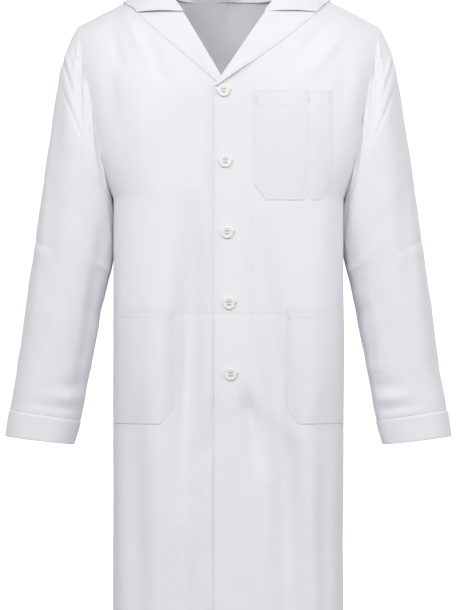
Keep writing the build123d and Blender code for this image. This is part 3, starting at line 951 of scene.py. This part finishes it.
def cuff_band(points, normals):
    """The cuff: a doubled band that stands a little proud of the sleeve's end."""
    rows = []
    for k in range(len(points)):
        rows.append(points[k] + normals[k] * (1.3 if k > 0 else 0.2))
    last, out = points[-1], normals[-1]
    down = points[-1] - points[-2]
    down /= np.linalg.norm(down, axis=1, keepdims=True)
    rows.append(last + down * 0.9 + out * 0.6)
    rows.append(last + down * 0.9 - out * 0.6)
    rows.append(last - out * 1.3)
    for back in (8.0, 16.0, 24.0):
        rows.append(last - down * back - out * 1.6)
    return np.array(rows)


def face_out(piece):
    """Turns a tube's faces outwards, judged by a sample of them."""
    mesh = piece.data
    co = np.zeros(len(mesh.vertices) * 3)
    mesh.vertices.foreach_get("co", co)
    co = co.reshape(-1, 3)
    total = 0.0
    for k in range(0, len(mesh.polygons), 29):
        polygon = mesh.polygons[k]
        ring = co[np.abs(co[:, 2] - polygon.center.z) < 0.02]
        total += (polygon.center - Vector(ring.mean(axis=0))).dot(polygon.normal)
    if total < 0:
        mesh.flip_normals()
    return piece


arms = sleeves()


# ---- pieces sewn on the fronts ---------------------------------------------
def front_skin(x, z, sign, extra=0.0):
    """A grid on a front's folded cloth, stood off by extra, for x and z of the unmirrored side."""
    points = np.stack([x, body_y(x, z, -1), z], axis=-1)
    points = mirrored(points, sign)
    normals = outward(points, -1)
    over = lap(x) if sign > 0 else 0.0
    shaped = raised(points, normals, over + extra)
    return shaped, outward(shaped, -1)


def around_skin(angle, z, sign, extra):
    """The same, by angle round the body, for cloth that reaches the body's side."""
    x, y = round_point(angle, -1)
    points = mirrored(np.stack([x, y, z], axis=-1), sign)
    normals = outward(points, -1)
    shaped = raised(points, normals, extra)
    return shaped, outward(shaped, -1)


def line_at(points, normals, axis, value, rows=slice(None)):
    """The line where a grid's coordinate (0 is x, 2 is z) reaches a value, row by row."""
    line, out = [], []
    for row, normal in zip(points[rows], normals[rows]):
        v = row[:, axis]
        k = int(np.argmin(np.abs(v - value)))
        forwards = (value - v[k]) * (v[-1] - v[0]) > 0
        k2 = min(max(k + (1 if forwards else -1), 0), len(v) - 1)
        gap = v[k2] - v[k]
        f = 0.0 if gap == 0 else float(np.clip((value - v[k]) / gap, 0, 1))
        line.append(row[k] * (1 - f) + row[k2] * f)
        out.append(normal[k] * (1 - f) + normal[k2] * f)
    return np.array(line), np.array(out)


def pocket_grid(x0, x1, top, bottom, cut, cut_height, to_point, bulge, corners=(True, True)):
    """A patch pocket: chamfered lower corners, edges turned down, mouth standing a little open."""
    inset = np.array([0.0, 0.5, 1.3, 2.6])
    height = top - bottom
    down = np.concatenate([inset / height, np.linspace(0.045, 0.955, 40), 1 - inset[::-1] / height])
    rows_x, rows_z, rows_e = [], [], []
    for v in down:
        z = top - v * height
        eat = cut * np.clip((bottom + cut_height - z) / cut_height, 0, 1)
        left, right = x0 + (eat if corners[0] else 0), x1 - (eat if corners[1] else 0)
        width = right - left
        u = np.concatenate([inset / width, np.linspace(0.05, 0.95, 34), 1 - inset[::-1] / width])
        rows_x.append(left + u * width)
        rows_z.append(np.full(len(u), z))
        edge = np.minimum(np.minimum(u, 1 - u) * width, (1 - v) * height)
        round_down = 1.35 * np.sqrt(np.clip(1 - (1 - np.clip(edge / 1.3, 0, 1)) ** 2, 0, 1)) - 0.1
        middle = np.sin(np.pi * np.clip(u, 0, 1)) ** 0.7
        mouth = bulge * middle * (1 - v) ** 1.6 + 0.55 * bulge * middle * np.sin(np.pi * v) ** 0.8
        first, second = STITCH_LINES
        stitched = -0.15 * (bump(edge, first, 0.7) + 0.8 * bump(edge, second, 0.7))
        rows_e.append(round_down + mouth + stitched)
    x, z, extra = np.array(rows_x), np.array(rows_z), np.array(rows_e)
    points, normals = to_point(x, z, extra)
    return points, normals, x


def stitch_rows(points, normals, distance, sides=("left", "bottom", "right")):
    """Runs of a stitch line that follows a pocket's edges at a distance."""
    across, down = lengths(points, 1), lengths(points, 0)
    above_end = down[-1:] - down
    rows = [k for k in range(len(points)) if above_end[k].mean() > distance]
    runs = []
    for side in ("left", "right"):
        if side in sides:
            places = [distance if side == "left" else across[r][-1] - distance for r in rows]
            runs.append(
                [
                    np.array([point_at(at, across[r], grid[r]) for at, r in zip(places, rows)])
                    for grid in (points, normals)
                ]
            )
    if "bottom" in sides:
        last = rows[-1]
        keep = (across[last] > distance) & (across[last] < across[last][-1] - distance)
        runs.append((points[last][keep], normals[last][keep]))
    return runs


def band_run(points, normals, z, inset=2.0):
    """A stitch line across a pocket at a height."""
    row = int(np.argmin(np.abs(points[:, points.shape[1] // 2, 2] - z)))
    places = distances(points[row])
    keep = (places > inset) & (places < places[-1] - inset)
    return points[row][keep], normals[row][keep]


def bartack(name, centre, normal, direction, length, body):
    """A dense block of satin stitches that holds a pocket's corner."""
    normal = normal / np.linalg.norm(normal)
    direction = direction - normal * float(direction @ normal)
    direction /= np.linalg.norm(direction)
    across = np.cross(normal, direction)
    count = int(length / 0.55)
    runs = []
    for k in range(count):
        middle = centre + direction * ((k + 0.5) / count - 0.5) * length + normal * 0.25
        line = np.array([middle - across * 1.15, middle + across * 1.15])
        runs.append((line, np.array([normal, normal])))
    piece = beads(name, runs, radius=0.33, length=2.0, gap=0.3)
    return place(piece, body)


CHEST = dict(x0=39.0, x1=161.5, top=-175.5, bottom=-348.0, cut=20.0, cut_height=25.0)
PEN_X = 125.0
HIP = dict(top=-513.0, bottom=-697.0)
HIP_INNER = {1: 90.0, -1: 86.0}  # distance of a hip pocket's inner edge from the middle
POCKET_CLOTH = 0.8
TACK_INSET = 4.5
TACK_LENGTH = 8.0


def chest_pocket():
    points, normals, x = pocket_grid(
        **CHEST, to_point=lambda x, z, e: front_skin(x, z, 1, e), bulge=2.6
    )
    # the pen slot's stitch line holds the pocket down
    held = np.exp(-(((x - PEN_X) / 5.0) ** 2))
    shaped = points - normals * (held * 1.5)[..., None]
    normals = outward(shaped, -1)
    piece = grid_mesh("chest_pocket_cloth", shaped)
    oriented(piece, FORWARD)
    dress(thicken(piece, POCKET_CLOTH), shaded_pocket_twill)
    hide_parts("chest_pocket")
    place(piece, STILL)
    runs = [run for line in STITCH_LINES for run in stitch_rows(shaped, normals, line)]
    runs += [band_run(shaped, normals, CHEST["top"] - depth) for depth in (2.6, 24.0)]
    place(beads("chest_pocket_stitches", runs), STILL)
    line = line_at(shaped, normals, 0, PEN_X, slice(2, -3))
    pen = beads("pen_slot_stitches", [line], radius=0.32)
    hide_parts("pen_slot_stitch")
    place(pen, STILL)
    corners = (CHEST["x0"] + TACK_INSET, CHEST["x1"] - TACK_INSET)
    for name, at_x in (("inner", corners[0]), ("pen", PEN_X), ("outer", corners[1])):
        spot, out = line_at(shaped, normals, 0, at_x, slice(5, 8))
        run = spot[2] - spot[0]
        bartack(f"chest_bartack_{name}", spot[1], out[1], run, TACK_LENGTH, STILL)
    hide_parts("chest_pocket_bartacks")


def hip_pocket(name, sign, body):
    """A hip pocket, laid round the body's side as far as the hinge line."""
    start = float(angle_at(HIP_INNER[sign], (HIP["top"] + HIP["bottom"]) / 2, -1))
    end = HINGE_ANGLE - 0.012
    arc = np.linspace(start, end, 200)
    ax, ay = round_point(arc, -1)
    run = np.concatenate([[0], np.cumsum(np.hypot(np.diff(ax), np.diff(ay)))])

    def to_point(u, z, extra):
        return around_skin(np.interp(u, run, arc), z, sign, extra)

    points, normals, _ = pocket_grid(
        0.0, float(run[-1]), HIP["top"], HIP["bottom"], 20.0, 26.0, to_point, 2.4, (True, False)
    )
    piece = grid_mesh(f"{name}_hip_pocket_cloth", points)
    oriented(piece, FORWARD)
    dress(thicken(piece, POCKET_CLOTH), shaded_pocket_twill)
    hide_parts(f"{name}_hip_pocket")
    place(piece, body)
    runs = stitch_rows(points, normals, STITCH_LINES[0])
    runs += stitch_rows(points, normals, STITCH_LINES[1], ("left", "bottom"))
    runs += [band_run(points, normals, HIP["top"] - depth) for depth in (2.6, 15.5, 18.5)]
    place(beads(f"{name}_hip_pocket_stitches", runs), body)
    spot, out = line_at(points, normals, 0, sign * (HIP_INNER[sign] + TACK_INSET), slice(5, 8))
    run = spot[2] - spot[0]
    tack = bartack(f"{name}_hip_bartack", spot[1], out[1], run, TACK_LENGTH, body)
    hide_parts(f"{name}_pocket_bartack")


chest_pocket()
hip_pocket("left", 1, SWINGING)
hip_pocket("right", -1, STILL)


def facing(name, sign, points, normals, inner_x, top_z, nodes, body):
    """The second layer behind a front's edge."""
    rows = [k for k in range(len(points)) if points[k, 0, 2] < top_z]
    edge = points[rows]
    columns = [c for c in range(points.shape[1]) if abs(points[10, c, 0]) < inner_x or c < 8]
    sheet_points = edge[:, columns] - normals[rows][:, columns] * 1.5
    sheet_points[:, 0] += np.array([sign * 0.8, 0, 0])
    keep = outside_buttonholes(sheet_points) if sign > 0 else None
    piece = grid_mesh(name, sheet_points, keep)
    oriented(piece, FORWARD)
    dress(thicken(piece, 0.7), shaded_facing_twill)
    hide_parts(*nodes)
    place(piece, body)


facing(
    "left_facing_cloth", 1, left_points, left_normals, 36.0, -172.0,
    ("left_chest_facing", "left_skirt_facing"), SWINGING,
)
facing(
    "right_facing_cloth", -1, right_points, right_normals, 42.0, -200.0,
    ("right_front_facing",), STILL,
)


# ---- lapels: the tops of the fronts, turned back along the roll lines ------
NOTCH_Z = -51.2
LAPEL_EDGE = {
    1: [(-20.5, -171.5), (6, -153.0), (36, -132.5), (80, -101), (110, -76), (139, -50.5)],
    -1: [(-15, -193), (23, -159), (61, -126), (98, -94), (122, -73), (144, -51.5)],
}
ROLL_RADIUS = 1.7


def lapel(sign):
    """One lapel: a strip of facing behind the front, the fold and the part turned back."""
    name = "left" if sign > 0 else "right"
    outline = np.array(LAPEL_EDGE[sign], float)
    run = distances(outline)
    s = np.linspace(0.012, 1.0, 58)
    edge = np.stack([np.interp(s * run[-1], run, outline[:, k]) for k in (0, 1)], axis=1)
    low = outline[0, 1] + 0.4
    roll_z = low + (NOTCH_Z - low) * s
    roll = np.stack([roll_x(roll_z, sign), roll_z], axis=1)
    slope = roll_x(1.0, sign) - roll_x(0.0, sign)
    away = np.array([-1.0, slope]) / math.hypot(1.0, slope)
    # columns: inside facing, fold, lapel
    inside = np.array([34.0, 26.0, 18.0, 10.0, 5.0, 2.0])
    turn = np.radians([-90, -60, -30, 0, 30, 60])
    t = np.concatenate([[0.0, 0.02, 0.05, 0.09], np.linspace(0.14, 0.955, 22), [0.98, 1.0]])
    width = np.linalg.norm(edge - roll, axis=1)
    # the facing narrows where the lapel does
    narrow = np.minimum(1, width / inside[0])[:, None]
    x, z = [
        np.concatenate(
            [
                roll[:, k : k + 1] - away[k] * inside[None, :] * narrow,
                np.repeat(roll[:, k : k + 1], len(turn), axis=1),
                roll[:, k : k + 1] + (edge - roll)[:, k : k + 1] * t[None, :],
            ],
            axis=1,
        )
        for k in (0, 1)
    ]
    centre = 0.8
    far = t[None, :] * width[:, None]
    stand = centre + ROLL_RADIUS * (1 - 0.62 * ease(far / 26.0))
    if sign > 0:
        free = ease((0.46 - s) / 0.22)[:, None] * ease(t / 0.8)[None, :]
        stand += 2.6 * free
    else:
        under = ease((0.42 - s) / 0.2)[:, None]
        stand = stand * (1 - under) + under * 1.9
    crown = 0.9 * np.sin(np.pi * t)[None, :] * np.sin(np.pi * s)[:, None]
    stand += crown * (1 if sign > 0 else 0.5)
    to_edge = (1 - t)[None, :] * width[:, None]
    stand -= 0.15 * (1 - np.clip(to_edge / 1.4, 0, 1)) ** 2 + 0.12 * bump(to_edge, LAPEL_STITCH, 0.8)
    extra = np.concatenate(
        [
            np.full((len(s), len(inside)), -1.5),
            centre + ROLL_RADIUS * np.sin(turn)[None, :] * np.ones((len(s), 1)),
            stand,
        ],
        axis=1,
    )
    extra[:, len(inside)] = -1.1
    push = np.zeros_like(extra)
    push[:, len(inside) : len(inside) + len(turn)] = ROLL_RADIUS * np.cos(turn)[None, :]
    flat = mirrored(np.stack([x, body_y(x, z, -1), z], axis=-1), sign)
    # the body's own normals, because the fold's columns all lie at one place
    step = 1.5
    gx = (body_y(x + step, z, -1) - body_y(x - step, z, -1)) / (2 * step)
    gz = (body_y(x, z + step, -1) - body_y(x, z - step, -1)) / (2 * step)
    normal = np.stack([gx * sign, -np.ones_like(gx), gz], axis=-1)
    normal /= np.linalg.norm(normal, axis=-1, keepdims=True)
    amount = relief(flat.reshape(-1, 3)).reshape(extra.shape)
    over = lap(x) if sign > 0 else 0.0
    points = flat + normal * (amount + over + extra)[..., None]
    points[..., 0] += push * away[0] * sign
    points[..., 2] += push * away[1]
    piece = grid_mesh(f"{name}_lapel_cloth", points)
    towards_front(piece, points, len(inside) + len(turn) + 4)
    dress(thicken(piece, 0.9), lit_collar_twill)
    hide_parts(f"{name}_lapel")
    place(piece, STILL)
    face = points[:, len(inside) + len(turn) :]
    normals = outward(face, -1)
    wide = [r for r in range(3, len(face)) if width[r] >= 3 * LAPEL_STITCH]
    edge_run = [
        np.array([point_at(1 - LAPEL_STITCH / width[r], t, grid[r]) for r in wide])
        for grid in (face, normals)
    ]
    drop = np.argmin(np.abs(face[:, 10, 2] - (NOTCH_Z - LAPEL_STITCH)))
    keep = (t > 0.25) & (t < 0.95)
    notch_run = (face[drop][keep], normals[drop][keep])
    place(beads(f"{name}_lapel_stitches", [edge_run, notch_run]), STILL)


def towards_front(piece, points, column):
    """Turns a folded sheet so that its face at a column of the grid looks forwards."""
    mesh = piece.data
    columns = points.shape[1] - 1
    k = (points.shape[0] // 2) * columns + column
    if mesh.polygons[k].normal.y > 0:
        mesh.flip_normals()


lapel(1)
lapel(-1)


# ---- collar: a stand round the neck, folded over into the leaf -------------
# Neck seam, fold and outer edge, from the left notch round the back to the right notch.
COLLAR = [
    ((61, -88, -48), (56.4, -92.0, -49.6), (139, -68, -49.2)),
    ((72, -74, -31), (67.5, -84.5, -34.5), (146, -56, -41)),
    ((88, -46, -6), (84, -62, -10), (156, -36, -33)),
    ((96, -13, 3), (97, -26, 11), (161, -8, -28)),
    ((91, 14, 1), (93, 16, 25), (157, 24, -36)),
    ((62, 47, -12), (64, 47, 34), (114, 52, -38)),
    ((-4, 64, -11), (-5, 59.5, 36.5), (-5, 78, -30)),
    ((-70, 47, -12), (-77, 47, 34), (-120, 52, -38)),
    ((-99, 14, -1), (-106, 16, 25), (-163, 24, -38)),
    ((-104, -13, 1), (-110, -26, 11), (-166, -8, -31)),
    ((-101, -46, -8), (-97.5, -62, -10), (-161, -36, -36)),
    ((-86, -74, -31), (-81.5, -84.5, -34.5), (-151, -56, -42)),
    ((-75, -88, -48), (-71, -92.5, -49.6), (-144, -68, -49.8)),
]


FOLD_RADIUS = 2.1
LEAF_CROWN = 2.6  # how far the leaf bulges between the fold and its edge


def rest_on_body(points, gap):
    """Moves points out until they are at least gap from the body's smooth surface."""
    points = points.copy()
    for _ in range(3):
        x, y, z = points.T
        side = np.where(y < MIDDLE_Y, -1.0, 1.0)
        full = np.where(side < 0, FRONT_DEPTH, BACK_DEPTH)
        reach = np.where(side < 0, FRONT_FALL, BACK_FALL)
        q = np.clip(np.abs(y - MIDDLE_Y) / full, 0, 0.97)
        root = np.sqrt(1 - q * q)
        over = z - (shoulder_z(x) - reach * (1 - root))
        grad = np.stack(
            [SHOULDER_SLOPE * np.sign(x), side * reach * q / (full * root), np.ones_like(x)], axis=1
        )
        size = np.linalg.norm(grad, axis=1)
        short = np.clip(gap - over / size, 0, None)
        points += grad / size[:, None] * short[:, None]
    return points


def collar():
    """One sheet: up the stand, over the fold and down the leaf to its outer edge."""
    stations = np.arange(len(COLLAR))
    curves = [spline([(k, c[part]) for k, c in zip(stations, COLLAR)]) for part in range(3)]
    u = np.linspace(0, len(COLLAR) - 1, 190)
    neck, fold, edge = (curve(u) for curve in curves)
    tangent = np.gradient(fold, axis=0)
    tangent /= np.linalg.norm(tangent, axis=1, keepdims=True)
    down_in = neck - fold
    down_out = edge - fold
    outwards = down_out / np.linalg.norm(down_out, axis=1, keepdims=True)
    inwards = down_in / np.maximum(np.linalg.norm(down_in, axis=1, keepdims=True), 1e-6)
    up = -(inwards + outwards)
    up -= tangent * (up * tangent).sum(axis=1, keepdims=True)
    up /= np.linalg.norm(up, axis=1, keepdims=True)
    across = np.cross(tangent, up)
    across *= np.sign((across * (down_out - down_in)).sum(axis=1, keepdims=True))
    r = FOLD_RADIUS
    # round the back the stand reaches down inside the neckline, where it is sewn in
    behind = ease((neck[:, 1:2] + 5.0) / 20.0)
    rows = [neck - behind * np.array([0.0, 0.0, 12.0])]
    for v in (0.2, 0.4, 0.6, 0.8):
        rows.append(neck + (fold - up * r - across * r - neck) * v)
    for angle in np.radians([-90, -60, -30, 0, 30, 60, 90]):
        rows.append(fold - up * r + up * r * np.cos(angle) + across * r * np.sin(angle))
    leaf_start = fold - up * r + across * r
    shares = np.concatenate([np.linspace(0.05, 0.97, 22), [0.988, 1.0]])
    first_leaf = len(rows)
    for v in shares:
        line = leaf_start + (edge - leaf_start) * v
        line = line + (across + up) * (LEAF_CROWN * 4 * v * (1 - v))
        gap = 3.4 - 0.9 * v
        if v > 0.98:
            gap -= 0.35
        rows.append(rest_on_body(line, gap))
    points = np.array(rows)
    # a wavering that cloth has, kept off the fold and the ends
    flat = points.reshape(-1, 3)
    wave = (cloud(flat, 48.0, 12, 2) * 1.1).reshape(points.shape[:2])
    normals = grid_normals(points)
    middle, leaf_row = len(u) // 2, first_leaf + 8
    if (normals[leaf_row, middle] * across[middle]).sum() < 0:
        normals = -normals
    fade = np.concatenate([np.zeros(first_leaf), ease(shares / 0.3)])[:, None]
    ends = ease(np.minimum(u, u[-1] - u) / 0.6)[None, :]
    points = points + normals * (np.abs(wave) * fade * ends)[..., None]
    # the stitches near the edge draw the cloth in
    points[first_leaf + 19] -= normals[first_leaf + 19] * 0.25
    piece = grid_mesh("collar_cloth", points)
    k = leaf_row * (points.shape[1] - 1) + middle
    if piece.data.polygons[k].normal.y < 0:
        piece.data.flip_normals()
    dress(thicken(piece, 1.1), lit_collar_twill)
    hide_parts("collar_leaf", "under_collar", "collar_stand")
    place(piece, STILL)
    leaf, leaf_normals = points[first_leaf:], normals[first_leaf:]
    widths = lengths(leaf, 0)
    columns = range(3, leaf.shape[1] - 3)
    edge_run = [
        np.array([point_at(widths[-1, c] - COLLAR_STITCH, widths[:, c], grid[:, c]) for c in columns])
        for grid in (leaf, leaf_normals)
    ]
    runs = [edge_run]
    for c in (4, leaf.shape[1] - 5):
        runs.append((leaf[6:-3, c], leaf_normals[6:-3, c]))
    place(beads("collar_stitches", runs), STILL)


collar()


# ---- inside the back neck --------------------------------------------------
def hang_loop():
    """A narrow tape, sewn to the neck seam at both ends."""
    t = np.linspace(-1, 1, 41)
    x = -5.0 + 27.0 * np.sign(t) * np.abs(t) ** 0.85
    sag = 8.0 - 19.0 * (1 - np.abs(t) ** 3.2)
    y = np.full_like(t, 53.2) - 1.2 * (1 - t**2)
    along = np.stack([x, y, sag], axis=1)
    tangent = np.gradient(along, axis=0)
    tangent /= np.linalg.norm(tangent, axis=1, keepdims=True)
    flat = np.array([0.0, -1.0, 0.0])
    side = np.cross(tangent, flat)
    points = np.array([along + side * w for w in np.linspace(-5.05, 5.05, 7)])
    piece = grid_mesh("hang_loop_cloth", points)
    oriented(piece, FORWARD)
    dress(thicken(piece, 0.8), tape)
    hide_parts("hang_loop")
    place(piece, "loop")


def neck_label():
    """A blank label, stitched on all four sides."""
    x, z = np.meshgrid(np.linspace(-29, 19, 25), np.linspace(32, 13, 11))
    y = 54.0 - 0.00035 * (x + 5.0) ** 2 - 0.25 * np.cos((z - 22) / 3.0)
    points = np.stack([x, y, z], axis=-1)
    piece = grid_mesh("neck_label_cloth", points)
    oriented(piece, FORWARD)
    dress(thicken(piece, 0.5), tape)
    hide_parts("neck_label")
    place(piece, STILL)
    normals = np.zeros_like(points)
    normals[..., 1] = -1.0
    runs = [(points[:, 1], normals[:, 1]), (points[:, -2], normals[:, -2])]
    runs += [(points[1, 1:-1], normals[1, 1:-1]), (points[-2, 1:-1], normals[-2, 1:-1])]
    place(beads("neck_label_stitches", runs), STILL)


hang_loop()
neck_label()


# ---- stitching on the panels -----------------------------------------------
def below(points, z):
    """The rows of a panel whose inner end is below a height."""
    return slice(0, int(np.searchsorted(points[:, 0, 2], z)))


def front_stitches():
    rows = below(left_points, -170.0)
    runs = [line_at(left_points, left_normals, 0, FACING_EDGE, below(left_points, -132.0))]
    runs.append(line_at(left_points, left_normals, 0, LEFT_EDGE + 5.0, rows))
    hem = int(np.argmin(np.abs(left_points[:, 3, 2] - (HEM_Z + HEM_LINE))))
    hinge = left_side_column
    runs.append((left_points[hem, 1:hinge], left_normals[hem, 1:hinge]))
    place(beads("left_front_stitches", runs), SWINGING)
    side = [(left_points[hem, hinge:-1], left_normals[hem, hinge:-1])]
    place(beads("left_side_stitches", side), STILL)
    runs = [line_at(right_points, right_normals, 0, -RIGHT_FACING_LINE, below(right_points, -210.0))]
    runs.append((right_points[hem, 8:-1], right_normals[hem, 8:-1]))
    place(beads("right_front_stitches", runs), STILL)
    for name, sign in (("left", 1), ("right", -1)):
        _, points, normals = backs[name]
        keep = [c for c in range(points.shape[1] - 1) if sign < 0 or points[hem, c, 0] > VENT_HINGE]
        keep = keep[3:] if sign < 0 else keep
        runs = [(points[hem, keep], normals[hem, keep])]
        if sign < 0:
            runs.append((points[1:-2, 2], normals[1:-2, 2]))
        place(beads(f"back_{name}_stitches", runs), STILL)
    bottom = int(np.argmin(np.abs(vent_points[:, 3, 2] - (HEM_Z + HEM_LINE))))
    runs = [(vent_points[bottom, 2:-1], vent_normals[bottom, 2:-1])]
    runs.append((vent_points[1:-2, 2], vent_normals[1:-2, 2]))
    place(beads("vent_stitches", runs), VENTED)


def armhole_stitches():
    """A line of stitches on the body beside each armhole seam."""
    for name, front, front_normals in (
        ("left", left_points, left_normals),
        ("right", right_points, right_normals),
    ):
        _, back, back_normals = backs[name]
        runs = []
        for points, normals in ((front, front_normals), (back, back_normals)):
            line, out = [], []
            for r in range(len(LOWER_ROWS) + 3, len(points) - 1):
                places = distances(points[r])
                line.append(point_at(places[-1] - 5.0, places, points[r]))
                out.append(point_at(places[-1] - 5.0, places, normals[r]))
            runs.append((np.array(line), np.array(out)))
        place(beads(f"{name}_armhole_stitches", runs), STILL)


def shoulder_stitches():
    for name, sign in (("left", 1), ("right", -1)):
        _, back, back_normals = backs[name]
        row = len(back) - 4
        inner = NECK_ENDS[sign][0] + 4
        keep = [c for c in range(back.shape[1] - 2) if abs(back[row, c, 0]) > inner]
        runs = [(back[row, keep], back_normals[row, keep])]
        place(beads(f"{name}_shoulder_stitches", runs), STILL)


def cuff_stitches():
    for name in ("left", "right"):
        sleeve = arms[name]
        band_points = sleeve["band_points"]
        out = grid_normals(np.concatenate([band_points, band_points[:, :1]], axis=1))[:, :-1]
        centre = band_points.mean(axis=1, keepdims=True)
        if ((band_points - centre) * out)[:6].sum() < 0:
            out = -out
        last = len(band_points) - 6
        runs = []
        for row in (2, last - 1):
            ring = np.concatenate([band_points[row], band_points[row][:1]])
            runs.append((ring, np.concatenate([out[row], out[row][:1]])))
        place(beads(f"{name}_cuff_stitches", runs), f"{name}_forearm")
        row = sleeve["wrist"] - 2
        run = [np.concatenate([grid[row], grid[row][:1]]) for grid in (sleeve["points"], sleeve["normals"])]
        place(beads(f"{name}_sleeve_end_stitches", [run]), sleeve["arm"])


def satin(x, start_z, end_z, lift):
    """The run of one stitch at a buttonhole, from one height to another."""
    grid_x = np.array([[x, x + 0.4], [x, x + 0.4]])
    grid_z = np.array([[start_z, start_z], [end_z, end_z]])
    points, normals = front_skin(grid_x, grid_z, 1, lift)
    normals = np.where(normals[..., 1:2] > 0, -normals, normals)
    return points[:, 0], normals[:, 0]


def buttonhole_stitches():
    """Satin stitches along both sides of each slit, and a bar at each end."""
    near, far = 0.55, 2.1
    still, swinging = [], []
    for k, (bx, bz) in enumerate(BUTTONS):
        runs = still if k < UPPER_BUTTONS else swinging
        ends = (bx - 4.2, bx + 12.0)
        for x in np.arange(ends[0], ends[1], 0.75):
            for side in (-1, 1):
                runs.append(satin(x, bz + side * far, bz + side * near, 0.15))
        for x in (ends[0] - 0.2, ends[1] + 0.2):
            runs.append(satin(x, bz + far, bz - far, 0.3))
    sizes = dict(radius=0.36, length=1.4, gap=0.1)
    place(beads("upper_buttonhole_stitches", still, **sizes), STILL)
    place(beads("lower_buttonhole_stitches", swinging, **sizes), SWINGING)


front_stitches()
armhole_stitches()
shoulder_stitches()
cuff_stitches()
buttonhole_stitches()


# ---- camera, light and floor -----------------------------------------------
VIEW_HEIGHT = -511.0
VIEW_DISTANCE = 5200.0
VIEW_SPAN = 952.0  # height of the view at the coat's front, in millimetres
COAT_FRONT = 105.0  # how far the coat's front stands before its middle


def camera():
    data = bpy.data.cameras.new("camera")
    data.sensor_width = 36.0
    data.lens = 36.0 * (VIEW_DISTANCE - COAT_FRONT) / VIEW_SPAN
    data.clip_end = 90.0
    made = bpy.data.objects.new("camera", data)
    made.location = Vector((0.0, -VIEW_DISTANCE, VIEW_HEIGHT)) * MM
    made.rotation_euler = (math.radians(90), 0, 0)
    bpy.context.scene.collection.objects.link(made)
    bpy.context.scene.camera = made


def area_light(name, location, target, side, power):
    """A square light that the camera doesn't see."""
    data = bpy.data.lights.new(name, "AREA")
    data.shape = "RECTANGLE"
    data.size = data.size_y = side
    data.energy = power
    made = bpy.data.objects.new(name, data)
    made.location = location
    made.rotation_euler = (Vector(target) - Vector(location)).to_track_quat("-Z", "Y").to_euler()
    made.visible_camera = False
    bpy.context.scene.collection.objects.link(made)


# sweep, in metres: height of its floor, where the floor starts to rise, radius of the rise
FLOOR_Z, FLOOR_END, RISE = -1.13, 20.0, 6.0
# lights, in metres and watts: name, place, target, side, power
LIGHTS = [
    ("key", (-3.0, -3.2, 2.6), (0, 0, -0.2), 1.3, 60),
    ("fill", (0.1, -3.5, 1.1), (0, 0, 0.2), 1.3, 65),
    ("side", (3.7, -1.7, 0.7), (0, 0, -0.3), 1.8, 30),
    ("back_left", (2.4, 3.4, 1.6), (0, 0, -0.4), 1.6, 60),
    ("back_right", (-2.4, 3.2, 0.8), (0, 0, -0.5), 1.6, 28),
]


def studio():
    """A white round sweep, three lights in front, two behind and an even pale sky."""
    profile = [(reach, FLOOR_Z) for reach in (0.001, 3.0, 15.0)]
    for a in np.linspace(0, math.pi / 2, 10):
        profile.append((FLOOR_END + RISE * math.sin(a), FLOOR_Z + RISE - RISE * math.cos(a)))
    profile.append((FLOOR_END + RISE, 24.0))
    turn = np.linspace(0, 2 * math.pi, 48, endpoint=False)
    rows = [[(r * math.cos(a), r * math.sin(a), z) for a in turn] for r, z in profile]
    sweep = grid_mesh("sweep", np.array(rows) / MM, closed=True)
    paper = {
        "Base Color": (0.93, 0.93, 0.93, 1),
        "Roughness": 0.9,
        "Emission Color": (1, 1, 1, 1),
        "Emission Strength": 0.85,
    }
    sweep.data.materials.append(new_material("paper", paper)[0])
    sweep.visible_diffuse = False
    sweep.visible_glossy = False
    sweep.visible_shadow = False
    for light in LIGHTS:
        area_light(*light)
    world = bpy.data.worlds.new("world")
    world.use_nodes = True
    sky = world.node_tree.nodes["Background"]
    sky.inputs["Color"].default_value = (0.985, 0.985, 1, 1)
    sky.inputs["Strength"].default_value = 0.41
    bpy.context.scene.world = world
    bpy.context.scene.view_settings.view_transform = "Standard"


camera()
studio()

for k in range(len(BUTTONS)):
    dress(bpy.data.objects[f"button_{k + 1}"], button_look)
dress(bpy.data.objects["button_threads"], button_thread)
